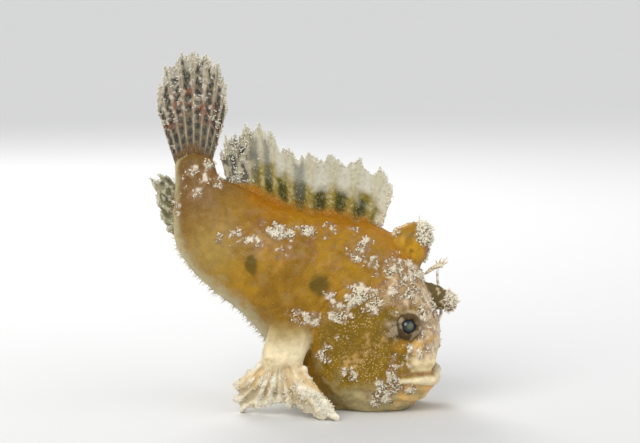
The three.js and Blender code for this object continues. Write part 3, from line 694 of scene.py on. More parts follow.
# Form: sockets, folds, lumps, ridges.
def with_sockets(points):
    """Lids that close in round each eyeball: the skin dips under the ball where it shows and wraps it beyond."""
    for side in SIDES:
        centre, normal = eye_place(side)
        off = points - centre
        depth = off @ normal
        aside = np.linalg.norm(off - depth[:, None] * normal, axis=1)
        far = np.linalg.norm(off, axis=1)
        snug = EYE_RADIUS + LID_GAP
        wrapped = centre + off * (np.maximum(far, snug) / np.maximum(far, 0.01))[:, None]
        points = np.where(((depth > -0.5) & (far < snug))[:, None], wrapped, points)
        under = np.sqrt(np.maximum((EYE_RADIUS - SOCKET_DEPTH) ** 2 - aside**2, 0))
        shown = (1 - smooth(EYE_OPENING - 0.1, EYE_OPENING + 0.15, aside)) * (depth > 0) * (depth < 4)
        drop = np.minimum(under - (points - centre) @ normal, 0) * shown
        points = points + drop[:, None] * normal
    return points


def creases():
    """Folds of the throat, the gill's groove, wrinkles behind the cheek and the hollow over the lip."""
    throat = on_body * (1 - smooth(4, 7.5, Z)) * smooth(8, 14, X)
    folds = 0.2 * throat * np.sin(2.6 * Z + 1.2 * grains(4, 5))
    gill = -0.25 * np.exp(-(((CHEEK_FAR - 1.04) / 0.035) ** 2)) * (1 - smooth(6, 14, X)) * on_body * smooth(4, 7, FLANK)
    wrinkles = 0.1 * np.sin(5.2 * CHEEK_FAR * 6 + 1.5 * grains(3, 6)) * smooth(1.02, 1.1, CHEEK_FAR)
    wrinkles = wrinkles * (1 - smooth(1.1, 1.35, CHEEK_FAR)) * (1 - smooth(4, 12, X)) * on_body * smooth(3, 6, FLANK)
    hollow = -0.5 * np.exp(-(((Z - 8.6) / 0.8) ** 2)) * smooth(19.0, 25.0, X) * on_body
    return folds, gill, wrinkles, hollow


def height():
    """How far each point of the skin stands proud, in millimetres."""
    lumps = 0.16 * clouds(3.4, 1) * (1 - 0.6 * on_arm)
    knobs = 0.05 * grains(0.75, 2) + 0.045 * grains(1.2, 3)
    knobs = knobs + 0.16 * np.maximum(grains(0.8, 50), 0) * (FACE * on_body)
    round_eye = np.exp(-(((EYE_FAR - 3.2) / 1.3) ** 2))
    warty = 0.34 * np.maximum(grains(0.9, 4), 0) * (crust + 0.9 * on_hand + 0.9 * round_eye)
    streaked = 0.26 * hand_ridges * on_hand
    spokes = 0.07 * EYE_SPOKES * np.exp(-(((EYE_FAR - 3.4) / 1.0) ** 2)) * on_body
    return sum((lumps, knobs, warty, streaked, spokes, *creases()))


skin_points = with_sockets(skin_points + normals_of(skin) * height()[:, None])
skin_points[:, 2] = np.maximum(skin_points[:, 2], -SHIFT[2])
set_points(skin, skin_points)
skin_normals = normals_of(skin)

# Colours, as light that the skin gives back.
GOLD = (0.34, 0.175, 0.006)
DEEP_GOLD = (0.22, 0.105, 0.002)
ORANGE = (0.40, 0.155, 0.002)
OLIVE = (0.185, 0.108, 0.003)
AMBER = (0.27, 0.155, 0.004)
TAN = (0.16, 0.085, 0.024)
LAVENDER = (0.36, 0.26, 0.14)
SPOT = (0.095, 0.06, 0.003)
BELLY = (0.47, 0.40, 0.21)
CREAM = (0.78, 0.66, 0.42)
WHITE = (0.84, 0.78, 0.64)
LIP_CREAM = (0.88, 0.72, 0.42)
CHIN = (0.78, 0.46, 0.14)
PINK = (0.70, 0.54, 0.36)
SHADE = (0.055, 0.034, 0.012)
MUSTARD = (0.30, 0.20, 0.04)
RUSSET = (0.26, 0.12, 0.05)
APRICOT = (0.66, 0.40, 0.15)
# The skin's darker tone with painted shade, for the hollows between crust warts and the grooves between the hand's
# ridges.
HOLLOW_TONE_AND_SHADE = (0.30, 0.21, 0.12)
# Painted shade for the mouth's slit.
SLIT_SHADE = (0.30, 0.15, 0.08)
STRAW = (0.50, 0.36, 0.10)
PUTTY = (0.42, 0.34, 0.22)
BRACKEN = (0.12, 0.09, 0.028)
RUST = (0.36, 0.15, 0.03)
MARIGOLD = (0.52, 0.27, 0.01)
DARKEST, PALEST = 0.002, 0.92


def painted(base, *layers):
    """A base colour with layers over it, first to last. Each layer: its paint, and how much of it shows."""
    colours = np.array(base)
    for paint, mask in layers:
        colours = mix(colours, np.array(paint), np.clip(mask, 0, 1)[..., None])
    return colours


def belly_share():
    """0 along the belly's edge, 1 at the back."""
    return np.abs(skin_turn - math.pi) / math.pi


def cheek_share():
    """1 on the cheeks, fading out round them."""
    return (1 - smooth(0.8, 1.05, CHEEK_FAR + 0.06 * clouds(1.3, 21))) * smooth(3, 6, FLANK)


def spot_share():
    """1 on the two dark spots of each flank."""
    return np.maximum(blob(-7.9, 27.4, 1.2, 1.8, 15, 0.3, 0.25, 30), blob(4.5, 24.3, 1.8, 1.8, 0, 0.4, 0.25, 30))


def flank_layers(soft):
    """The golden body with its warm back, dusty clouds and brown tail stalk."""
    back = smooth(0.72, 0.95, belly_share() + 0.08 * soft)
    glow = np.exp(-(np.hypot((X + 15.5) / 4.5, (Z - 30.5) / 5.0) ** 2))
    blush = blob(-1.0, 31.5, 12.0, 3.8, -6, 0.5, 1.0, 53) * smooth(0.0, 0.35, clouds(1.2, 54))
    return (
        (DEEP_GOLD, 0.75 * smooth(-0.2, 0.5, soft)),
        (ORANGE, 0.7 * back),
        (LAVENDER, 0.2 * smooth(0.05, 0.55, clouds(3.2, 22)) * (1 - back)),
        (STRAW, 0.55 * glow),
        (RUSSET, 0.5 * blush),
        (TAN, 0.85 * (1 - smooth(0.13, 0.3, skin_t + 0.03 * soft))),
    )


def cheek_layers(soft):
    """The olive cheeks with amber clouds, and the rusty patch over them."""
    cheek = cheek_share()
    warm = np.maximum(blob(10.8, 11.2, 2.4, 1.7, 20, 0.5, 0.8, 55), 0.7 * blob(14.0, 14.6, 1.6, 1.2, 0, 0.5, 0.8, 56))
    rusty = blob(16.5, 24.0, 3.0, 4.0, 0, 0.6, 1.0, 58) * smooth(-0.1, 0.35, grains(0.9, 59))
    return (
        (OLIVE, 0.92 * cheek),
        (AMBER, 0.8 * cheek * (1 - smooth(7, 13, Z + 1.5 * soft))),
        (AMBER, 0.6 * cheek * smooth(0.0, 0.5, clouds(2.4, 29))),
        (APRICOT, 0.6 * warm * smooth(-0.3, 0.3, grains(0.7, 57))),
        (RUSSET, 0.55 * rusty),
    )


def underside_layers(soft, fine):
    """The pale edge of the belly, the dark spots and the pale throat."""
    edge = 1 - smooth(0.12, 0.3, belly_share() + 0.05 * fine)
    throat = (1 - smooth(3.5, 7.5, Z + 0.8 * soft)) * smooth(6, 12, X)
    return (
        (BELLY, edge * (1 - smooth(0.5, 0.66, skin_t))),
        (SPOT, 0.85 * spot_share()),
        (BELLY, 0.8 * throat),
    )


def snout_layers(fine):
    """The pink snout and forehead and the creamy muzzle."""
    snout = smooth(20.9, 23.6, X + 1.2 * fine) * smooth(8.5, 10, Z) * (1 - smooth(22, 25, Z))
    muzzle = smooth(19.5, 22.5, X + 1.5 * fine) * smooth(8.0, 8.8, Z) * (1 - smooth(10.6, 12.4, Z + fine))
    forehead = blob(19.8, 23.6, 3.2, 4.2, wobble=1.0, seed=31)
    return (
        (PINK, 0.85 * snout),
        (LIP_CREAM, 0.85 * muzzle),
        (PINK, (0.35 + 0.4 * smooth(0.0, 0.4, fine)) * forehead),
    )


def eye_layers():
    """The dark ground round each eye, with faint spokes and pale warts."""
    shade = np.exp(-((np.hypot(X - EYE["x"] + 1.2, Z - EYE["z"] + 0.3) / 2.9) ** 3))
    spokes = smooth(0.4, 0.9, EYE_SPOKES) * np.exp(-(((EYE_FAR - 3.7) / 0.8) ** 2))
    warts = smooth(0.15, 0.4, grains(0.9, 4)) * shade
    return (
        (SHADE, 0.95 * shade * smooth(3, 5, FLANK)),
        (PINK, 0.25 * spokes * on_body),
        (PUTTY, 0.7 * warts * smooth(3, 5, FLANK)),
    )


def patch_layers():
    """Warm patches on the face, and milky ones under the cheek."""
    warm = ((22.4, 13.2, 1.5, 1.2), (24.9, 13.6, 1.1, 1.0), (24.6, 16.4, 0.8, 0.6))
    milky = np.maximum(blob(7.2, 6.2, 1.6, 2.4, 20, 0.8, 1.6, 33), blob(11.0, 4.6, 2.6, 1.0, 0, 0.8, 1.6, 34))
    return (
        *((CHIN, 0.8 * blob(x, z, rx, rz, wobble=0.7, seed=int(x))) for x, z, rx, rz in warm),
        (GOLD, 0.9 * blob(19.2, 13.3, 1.9, 1.5, wobble=0.4, seed=27)),
        (BELLY, 0.45 * milky),
    )


def mouth_layers(fine):
    """The lower lip, painted shade along the mouth's slit, the warty face and the chin."""
    # Painted shade: a thin dark line where the closed mouth's slit lies.
    slit_shade = (1 - smooth(0.08, 0.26, np.abs(Z - MOUTH["z"] + 0.05))) * smooth(18.2, 19.4, X)
    face = FACE * (1 - smooth(24, 27, Z)) * (on_body > 0.5)
    chin = smooth(17.5, 19.5, X + fine) * (1 - smooth(5.6, 6.6, Z)) * smooth(0.8, 2.6, Z + fine) * (1 - on_lip)
    return (
        (CREAM, on_lip),
        (SLIT_SHADE, 0.8 * slit_shade),
        (WHITE, 0.6 * face * smooth(0.1, 0.45, grains(0.8, 50))),
        (AMBER, 0.35 * face * smooth(0.1, 0.5, grains(1.6, 51))),
        (CHIN, 0.9 * chin * smooth(-0.7, -0.1, clouds(1.8, 35))),
        (BELLY, 0.5 * chin * smooth(0.2, 0.5, clouds(2.4, 49))),
    )


def arm_colours(soft):
    return painted(
        CREAM,
        # Darker towards the top: the arm's own warmer tone, with painted shade where it tucks under the cheek.
        (MUSTARD, 0.9 * smooth(12.5, 17.5, Z + 1.2 * soft)),
        (DEEP_GOLD, 0.9 * smooth(15.5, 18.5, Z + 1.0 * soft)),
        (MUSTARD, 0.6 * smooth(0.2, 0.7, clouds(1.6, 36)) * (1 - smooth(0, 3, np.abs(X + 5.5)))),
    )


def hand_colours():
    return painted(
        np.array(CREAM) * 0.9,
        (CHIN, 0.5 * smooth(0.0, 0.5, noise(hand_flow, 1.1, 37)) * smooth(4.5, 6.5, Z)),
        # In the grooves between the ridges: the skin's darker tone with painted shade.
        (HOLLOW_TONE_AND_SHADE, 0.55 * smooth(0.0, 0.5, -hand_ridges) * (1 - 0.6 * smooth(5, 8, Z))),
        (WHITE, 0.9 * smooth(0.0, 0.35, hand_ridges)),
        (WHITE, 0.5 * (1 - smooth(2.5, 5.0, Z)) * smooth(-0.1, 0.3, grains(0.8, 52))),
    )


def third_spine_colours(soft):
    return painted(
        GOLD,
        (RUST, smooth(20.5, 23.0, X + soft)),
        (TAN, 0.6 * smooth(30.0, 33.0, Z + 2 * soft) * smooth(0.0, 0.4, clouds(1.6, 39))),
        (MARIGOLD, smooth(0.1, 0.6, clouds(2.6, 42))),
        (SHADE, 0.6 * smooth(0.45, 0.8, clouds(1.2, 44))),
    )


def skin_colours():
    """The colour of each point of the skin."""
    soft, fine = clouds(5.0, 20), clouds(1.3, 21)
    warts = smooth(0.0, 0.4, grains(0.9, 4))
    second_spine = painted(BRACKEN, (PINK, 0.7 * smooth(0.5, 0.7, grains(0.7, 38))))
    colours = painted(
        GOLD,
        *flank_layers(soft), *cheek_layers(soft), *underside_layers(soft, fine),
        *snout_layers(fine), *eye_layers(), *patch_layers(), *mouth_layers(fine),
        (arm_colours(soft), on_arm),
        (hand_colours(), on_hand),
        (BELLY, on_foot),
        (second_spine, on_second),
        (third_spine_colours(soft), on_third),
        (SHADE, 0.75 * on_rim * (1 - warts)),
        (RUSSET, 0.5 * smooth(0.02, 0.2, crust) * on_body),
        # Under the crusts: white on the raised warts, and in the hollows between them the skin's darker tone with
        # painted shade.
        (painted(HOLLOW_TONE_AND_SHADE, (WHITE, warts)), 0.85 * smooth(0.1, 0.6, crust)),
    )
    return np.clip(colours * (1 + 0.14 * fine[:, None]), DARKEST, PALEST)


def pimply_share():
    """How strongly pale pimples show: most on the cheeks, less on the flanks, least along the belly."""
    belly = 1 - smooth(0.1, 0.3, belly_share())
    return (0.22 + 0.78 * cheek_share()) * (1 - spot_share()) * on_body * (1 - 0.7 * belly)


# The body lies in one field of the unwrap, limbs and spines in tiles beside it.
TILES = {"lower_lip": 0, "rim": 1, "nostril": 1, "arm": 2, "hand": 3, "foot": 4, "second": 5, "third": 6}


def skin_unwrap():
    """Where each point lies on an unwrap of the skin."""
    tile = np.array([TILES.get(name, -1) for name in skin_part])
    body = np.stack([0.02 + 0.66 * skin_t, 0.02 + 0.96 * skin_turn / (2 * math.pi)], axis=1)
    column = 0.72 + 0.14 * (Y > 0) + 0.12 * np.clip((X + 12) / 44, 0, 1)
    row = 0.02 + 0.14 * tile + 0.11 * np.clip(Z / 36, 0, 1)
    flat = np.where((tile < 0)[:, None], body, np.stack([column, row], axis=1))
    return np.column_stack([flat, np.zeros(len(X))])


store(skin, "tint", skin_colours(), "FLOAT_COLOR")
store(skin, "crust", crust)
store(skin, "pimply", pimply_share())
store(skin, "unwrap", skin_unwrap(), "FLOAT_VECTOR")


# Node trees and materials.
class Value:
    """A number on a node's socket that takes part in sums. Each sum adds its Math node."""

    def __init__(self, nodes, socket):
        self.nodes = nodes
        self.socket = socket

    def math(self, operation, *values):
        return self.nodes.node("ShaderNodeMath", {"operation": operation}, dict(enumerate(values)))

    def __add__(self, other):
        return self.math("ADD", self, other)

    def __mul__(self, other):
        return self.math("MULTIPLY", self, other)

    def __rsub__(self, other):
        return self.math("SUBTRACT", other, self)

    __radd__ = __add__
    __rmul__ = __mul__


class Nodes:
    """A tree that is built node by node."""

    def __init__(self, tree):
        self.tree = tree

    def node(self, kind, settings=None, inputs=None, output=0):
        """Adds a node, its settings first, then the values or links of its sockets, and gives one output."""
        node = self.tree.nodes.new(kind)
        for key, value in (settings or {}).items():
            setattr(node, key, value)
        for key, value in (inputs or {}).items():
            if isinstance(value, Value):
                self.tree.links.new(value.socket, node.inputs[key])
            else:
                node.inputs[key].default_value = value
        return Value(self, node.outputs[output]) if len(node.outputs) else None


class Paint(Nodes):
    """A material. Its noise and cells are given as grains to a metre."""

    def __init__(self, name):
        self.material = bpy.data.materials.new(name)
        self.material.use_nodes = True
        super().__init__(self.material.node_tree)
        self.tree.nodes.clear()

    def place(self):
        return self.node("ShaderNodeTexCoord", output="Object")

    def kept(self, name, output="Fac"):
        """A number or colour that is kept on the mesh."""
        return self.node("ShaderNodeAttribute", {"attribute_name": name}, output=output)

    def noise(self, scale, detail=3.0):
        inputs = {"Vector": self.place(), "Scale": scale, "Detail": detail, "Roughness": 0.55}
        return self.node("ShaderNodeTexNoise", {}, inputs, output="Fac")

    def cells(self, scale):
        return self.node("ShaderNodeTexVoronoi", {}, {"Vector": self.place(), "Scale": scale}, output="Distance")

    def between(self, value, low, high, to_low=0.0, to_high=1.0):
        inputs = {"Value": value, "From Min": low, "From Max": high, "To Min": to_low, "To Max": to_high}
        return self.node("ShaderNodeMapRange", {"interpolation_type": "SMOOTHSTEP"}, inputs)

    def blend(self, share, a, b):
        """Mixes two colours."""
        whole = lambda colour: colour if isinstance(colour, Value) else (*colour, 1.0)
        return self.node("ShaderNodeMix", {"data_type": "RGBA"}, {0: share, 6: whole(a), 7: whole(b)}, output=2)

    def bump(self, height, strength, distance):
        return self.node("ShaderNodeBump", {}, {"Height": height, "Strength": strength, "Distance": distance})

    def surface(self, colour, roughness, **more):
        """Finishes the material. Its other sockets are named with _ for each space."""
        inputs = {"Base Color": colour, "Roughness": roughness}
        inputs.update({key.replace("_", " "): value for key, value in more.items()})
        shader = self.node("ShaderNodeBsdfPrincipled", {}, inputs)
        self.node("ShaderNodeOutputMaterial", {}, {"Surface": shader})
        return self.material


# The skin's finish: cells and grains to a metre, and the colours that they bring.
PIMPLES, PORES, SKIN_GRAIN, SKIN_CLOUDS = 2300.0, 5200.0, 900.0, 260.0
GRAIN_BROWN, PIMPLE_BUFF, PORE_DARK = (0.10, 0.055, 0.012), (0.80, 0.60, 0.30), (0.05, 0.03, 0.01)


def skin_paint():
    """The kept colours with grain, pores and raised pale pimples under a thin wet coat."""
    paint = Paint("frogfish_skin")
    crusty = paint.kept("crust")
    dot = 1 - paint.between(paint.cells(PIMPLES), 0.18, 0.42)
    pores = paint.cells(PORES)
    grain = paint.noise(SKIN_GRAIN, 4.0)
    cloud = paint.between(paint.noise(SKIN_CLOUDS, 2.0), 0.42, 0.62)
    pimples = dot * (paint.kept("pimply") * (cloud * 0.3 + 0.2) + crusty * 0.4)
    colour = paint.blend(paint.between(grain, 0.4, 0.8, 0.0, 0.24), paint.kept("tint", "Color"), GRAIN_BROWN)
    colour = paint.blend(pimples, colour, PIMPLE_BUFF)
    colour = paint.blend((1 - paint.between(pores, 0.1, 0.5)) * 0.16, colour, PORE_DARK)
    lift = dot * 0.6 + paint.between(pores, 0.0, 0.6) * 0.25 + grain * 0.3
    dull = paint.between(grain, 0.3, 0.7, 0.34, 0.52) + crusty * 0.12
    return paint.surface(colour, dull, Normal=paint.bump(lift, 0.6, 0.00012), Subsurface_Weight=0.12,
                         Subsurface_Scale=0.0011, Coat_Weight=0.10, Coat_Roughness=0.18, IOR=1.24)


skin.materials.clear()
skin_piece = show(skin, skin_paint())


# Eyes.
def eye_mesh(side):
    """A ball with a slight bulge of clear cornea over the pupil."""
    centre, normal = eye_place(side)
    across, up = square_to(normal)
    polar = np.linspace(0, math.pi, 50)[1:-1]
    turn = np.linspace(0, 2 * math.pi, 64, endpoint=False)
    bulge = EYE_RADIUS * (0.985 + 0.03 * np.exp(-((polar / 0.6) ** 2)))
    out = np.cos(polar)[:, None, None] * normal
    out = out + np.sin(polar)[:, None, None] * (np.cos(turn)[None, :, None] * across + np.sin(turn)[None, :, None] * up)
    points, faces = tube(centre + out * bulge[:, None, None])
    mesh = mesh_of(f"eyeball_{SIDES[side]}", points, faces)
    off = unit(points - centre)
    store(mesh, "from_pupil", np.degrees(np.arccos(np.clip(off @ normal, -1, 1))))
    store(mesh, "round_pupil", np.arctan2(off @ up, off @ across))
    return mesh


# Where the pupil and the iris end, in degrees from the middle of the eye, and the eye's colours.
PUPIL_EDGE, IRIS_EDGE = (11.0, 27.0), (38.0, 47.0)
# The pupil's dark ground, and its painted highlights: a pale greenish mottle and faint streaks.
HAZE_DARK, PUPIL_HIGHLIGHT, HIGHLIGHT_STREAK = (0.03, 0.045, 0.03), (0.12, 0.135, 0.06), (0.20, 0.20, 0.12)
IRIS, EYEBALL = (0.010, 0.018, 0.026), (0.05, 0.035, 0.02)


def eye_paint():
    """A dark pupil with painted greenish highlights, mottled and in faint streaks, in a blue-black iris on a brown
    ball.
    """
    paint = Paint("wet_eye")
    far, turn = paint.kept("from_pupil"), paint.kept("round_pupil")
    streak = paint.between(turn.math("SINE", turn * 23.0), -0.2, 1.0)
    pupil = paint.blend(paint.noise(1800.0, 4.0), HAZE_DARK, PUPIL_HIGHLIGHT)
    pupil = paint.blend(streak * 0.25, pupil, HIGHLIGHT_STREAK)
    seen = paint.blend(paint.between(far, *PUPIL_EDGE), pupil, IRIS)
    colour = paint.blend(paint.between(far, *IRIS_EDGE), seen, EYEBALL)
    return paint.surface(colour, 0.12, Coat_Weight=0.5, Coat_Roughness=0.03, IOR=1.36)


EYE_PAINT = eye_paint()
eyes = {side: show(eye_mesh(side), EYE_PAINT) for side in SIDES}


# The fishing rod and its lure.
SPRIG_AXIS = (0.31, 0.87, 0.38)  # no filament runs along it


def thread(start, lean, length, radius, sag):
    lean = unit(np.array(lean, float))
    u = np.linspace(0, 1, 10)
    line = Line(np.array(start) + lean * (length * u)[:, None] + np.array(sag, float) * (u**2)[:, None])
    size = lambda s: radius * (1 - 0.45 * s) * dome(s)
    return limb(line, size, size, SPRIG_AXIS, rows=10, around=8)


rod_line = Line([(23.6, 0.8, 14.6), (25.9, 1.9, 17.2), (25.6, 2.3, 21), (25.3, 1.7, 25.6), (25.6, 1.7, 26.5)])
rod_size = lambda u: mix(0.34, 0.22, u) * (1 + 0.06 * np.sin(70 * u))
rod = mesh_of("fishing_rod", *limb(rod_line, rod_size, rod_size, (0, 1, 0), rows=120, around=14))
lure_line = Line([(26.2, 1.7, 26.7), (25.2, 1.7, 26.5), (24.1, 1.7, 25.8), (22.9, 1.7, 24.9)])
lure_size = lambda u: (0.52 - 0.2 * u) * dome(u) * (1 + 0.1 * np.sin(46 * u))
LURE_THREADS = (  # start, lean, length, radius, sag
    ((25.9, 1.7, 26.7), (0.9, 0, 1), 1.9, 0.2, (0, 0.2, 0)),
    ((25.6, 1.7, 26.7), (0.1, -0.3, 1), 1.5, 0.18, (0.3, 0, 0)),
    ((25.9, 1.7, 26.6), (1, 0.5, 0.25), 1.5, 0.18, (0, 0, 0.3)),
    ((26.1, 1.7, 26.8), (0.4, 0.5, 1), 1.3, 0.14, (0.1, 0, 0.1)),
    ((26.3, 1.6, 26.7), (1.0, -0.4, 0.5), 1.1, 0.14, (0, 0, 0.2)),
    ((25.2, 1.7, 26.9), (-0.4, 0.1, 1), 0.8, 0.13, (0, 0, 0)),
)
lure = mesh_of("lure", *join([limb(lure_line, lure_size, lure_size, (0, 1, 0), rows=80, around=16),
                              *(thread(*row) for row in LURE_THREADS)]))


def banded_paint(name, light, dark, bands):
    """Flesh with crosswise bands, so many to a metre of height."""
    paint = Paint(name)
    height = paint.node("ShaderNodeSeparateXYZ", {}, {0: paint.place()}, output="Z")
    wave = height * (2 * math.pi * bands) + paint.noise(800.0) * 3.0
    grain = paint.noise(3200.0, 4.0)
    colour = paint.blend(paint.between(wave.math("SINE", wave), -0.1, 0.7) * 0.75, light, dark)
    colour = paint.blend(paint.between(grain, 0.4, 0.7, 0.0, 0.4), colour, (0.85, 0.78, 0.62))
    return paint.surface(colour, 0.45, Normal=paint.bump(grain, 0.5, 0.0001), Subsurface_Weight=0.1,
                         Subsurface_Scale=0.0006)


rod_piece = show(rod, banded_paint("banded_rod", (0.86, 0.83, 0.75), (0.42, 0.35, 0.25), 700.0))
lure_piece = show(lure, banded_paint("lure_flesh", (0.82, 0.74, 0.56), (0.46, 0.32, 0.15), 900.0))


# Fins: thin sheets with raised, forked rays and frayed edges.
def upright(v):
    return np.broadcast_to(np.array([0.0, 1.0, 0.0]), np.shape(v) + (3,))


def sweep(cx, cz, rx, rz, start, end):
    """A line along an oval, from one angle to another in degrees."""
    angle = np.radians(np.linspace(start, end, 9))
    return Line(np.stack([cx + rx * np.cos(angle), 0 * angle, cz + rz * np.sin(angle)], axis=1))


PER_RAY = 20  # columns of points to a ray
WEB = 0.1  # half the web's thickness at the root
FORK = 0.17  # how far a ray's two branches part
FIN = {"normal": upright, "rows": 100, "ray": 0.24, "width": 0.13, "fork_from": 0.5, "ragged": 0.05, "torn": 0.0}
CAUDAL = {
    **FIN, "rays": 9, "notch": 0.05, "width": 0.1, "ragged": 0.035,
    "root": Line([(-22.4, 0, 43.0), (-16.9, 0, 43.4)]),
    "tip": sweep(-19.9, 56.5, 6.6, 9.4, 186, -6),
    "bend": lambda u, v: 1.1 * np.sin(2.4 * u) * np.sin(3 * v),
}
DORSAL = {
    **FIN, "rays": 12, "notch": 0.1, "fork_from": 0.7, "width": 0.18, "ray": 0.2, "torn": 1.2,
    "root": Line([(14.2, 0, 31.0), (7.6, 0, 32.0), (0.4, 0, 33.2), (-5.6, 0, 35.3), (-10.4, 0, 37.9),
                  (-12.9, 0, 39.4)]),
    "tip": Line([(17.3, 0, 40.7), (15.3, 0, 44.3), (10.7, 0, 46), (6.6, 0, 47.1), (2, 0, 47.3),
                 (-2.2, 0, 48.2), (-5.3, 0, 50.8), (-7.5, 0, 52.6), (-9.9, 0, 52.3), (-12.1, 0, 50.8),
                 (-13.8, 0, 49.3), (-14.9, 0, 47.3)]),
    "bend": lambda u, v: 0.7 * np.sin(9 * v) * u,
}
ANAL = {
    **FIN, "rays": 6, "notch": 0.12, "rows": 60,
    "root": Line([(-20.9, 0, 38.6), (-20.7, 0, 31.0)]),
    "tip": Line([(-24.6, 0, 43), (-26.2, 0, 43.2), (-27.7, 0, 42.1), (-27, 0, 38.6), (-26, 0, 35.2),
                 (-24.9, 0, 32.6)]),
    "bend": lambda u, v: 0.5 * u * u,
}


class Sheet:
    """A fin's grid of points: v runs across the rays and u from root to edge."""

    def __init__(self, fan):
        self.fan = fan
        columns = np.linspace(0, 1, (fan["rays"] - 1) * PER_RAY + 1)
        self.v, self.u = np.meshgrid(columns, np.linspace(0, 1, fan["rows"]), indexing="ij")
        self.place = self.v * (fan["rays"] - 1)
        self.off = self.place - np.round(self.place)
        split = FORK * smooth(fan["fork_from"], 1, self.u)
        branch = np.minimum(np.abs(self.off - split), np.abs(self.off + split))
        self.ridge = np.exp(-((branch / (fan["width"] + 0.03 * self.u)) ** 2))
        self.normal = fan["normal"](self.v)
        self.middle = fan_points(fan, self.v, self.reach())
        ripple = noise(np.stack([self.place * 0.8, self.u * 3, 0 * self.u], -1), 1.0, 9)
        self.middle[..., 1] += 0.25 * smooth(0.2, 1, self.u) * ripple

    def reach(self):
        """How far out the sheet comes: scalloped between the rays and frayed along its edge."""
        along = np.stack([self.place, 0 * self.u, 0 * self.u], axis=-1)
        scallop = smooth(0.1, 0.5, np.abs(self.off)) * self.fan["notch"]
        tatter = self.fan["ragged"] * (noise(along, 0.13, 7) + 0.8 * noise(along, 0.4, 8))
        tatter = tatter * (1 + self.fan["torn"] * smooth(0.7, 0.8, self.v))
        return self.u * (1 - (scallop + tatter) * smooth(0.45, 1, self.u))

    def shell(self):
        """A thin web with beaded rays and fine lumps."""
        beads = 1 + 0.2 * np.sin(self.u * 60 + 2.0 * np.round(self.place))
        lumps = 0.05 * np.maximum(noise(self.middle, 0.5, 10), 0)
        half = mix(WEB, 0.07, self.u) + mix(self.fan["ray"], 0.12, self.u**0.8) * self.ridge * beads + lumps
        out = self.normal * (half * (1 - 0.3 * smooth(0.96, 1, self.u)))[..., None]
        return slab(self.middle + out, self.middle - out)

    def noise(self, size, seed):
        return noise(self.middle, size, seed)

    def both(self, grid):
        """Values for the points of both sides."""
        return np.concatenate([grid.reshape(-1, *grid.shape[2:])] * 2)


CAUDAL_COLOURS = {
    "web": (0.15, 0.125, 0.08), "ray": (0.40, 0.34, 0.24), "maroon": (0.22, 0.085, 0.045),
    "window": (0.022, 0.022, 0.017), "frost": (0.66, 0.60, 0.47),
}
DORSAL_COLOURS = {
    "web": (0.19, 0.145, 0.012), "ray": (0.30, 0.22, 0.045), "stripe": (0.045, 0.042, 0.003),
    "milk": (0.66, 0.64, 0.52), "pane": (0.13, 0.135, 0.10), "speck": (0.55, 0.50, 0.26),
    "lace": (0.42, 0.38, 0.27), "hole": (0.045, 0.042, 0.028), "front": (0.66, 0.58, 0.42),
    "tip": (0.64, 0.61, 0.50),
}
ANAL_COLOURS = {
    "web": (0.13, 0.115, 0.045), "ray": (0.34, 0.30, 0.18), "cloud": (0.045, 0.04, 0.018),
    "frost": (0.60, 0.57, 0.44),
}


# Each of these gives a fin's colours, how solid it is and how crusty.
def paint_caudal(fin):
    """Dark windows in rows, a maroon band across, and a frosted edge."""
    shades, u = CAUDAL_COLOURS, fin.u
    row = u * 11 + 0.5 * (np.floor(fin.place) % 2) + 0.35 * fin.noise(2.0, 55)
    window = np.hypot((np.abs(fin.off) - 0.5) / 0.33, (row - np.floor(row) - 0.5) / 0.4)
    window = (1 - smooth(0.7, 1.1, window + 0.25 * fin.noise(0.9, 54))) * smooth(0.1, 0.2, u)
    window = window * (1 - smooth(0.93, 0.99, u))
    band = np.exp(-(((u - 0.58 + 0.06 * fin.noise(2.0, 50)) / 0.11) ** 2)) * smooth(-0.3, 0.3, fin.noise(1.3, 51))
    specks = smooth(0.15, 0.45, fin.noise(0.6, 53)) * smooth(0.25, 0.75, u) * (1 - 0.6 * window)
    colours = painted(
        shades["web"],
        (shades["ray"], 0.9 * fin.ridge),
        (shades["maroon"], 0.95 * band),
        (shades["window"], 0.93 * window),
        (shades["frost"], np.maximum(0.7 * smooth(0.86, 0.98, u + 0.10 * fin.noise(1.0, 52)), 0.65 * specks)),
        (TAN, 1 - smooth(0.17, 0.32, u + 0.06 * fin.noise(1.0, 56))),
    )
    outer_rays = smooth(0.93, 1, np.abs(2 * fin.v - 1)) * smooth(0.3, 0.5, u)
    crusty = smooth(0.91, 0.98, u) + 0.8 * specks + 0.3 * outer_rays
    return colours, np.maximum(fin.ridge, 0.97 - 0.15 * window), crusty


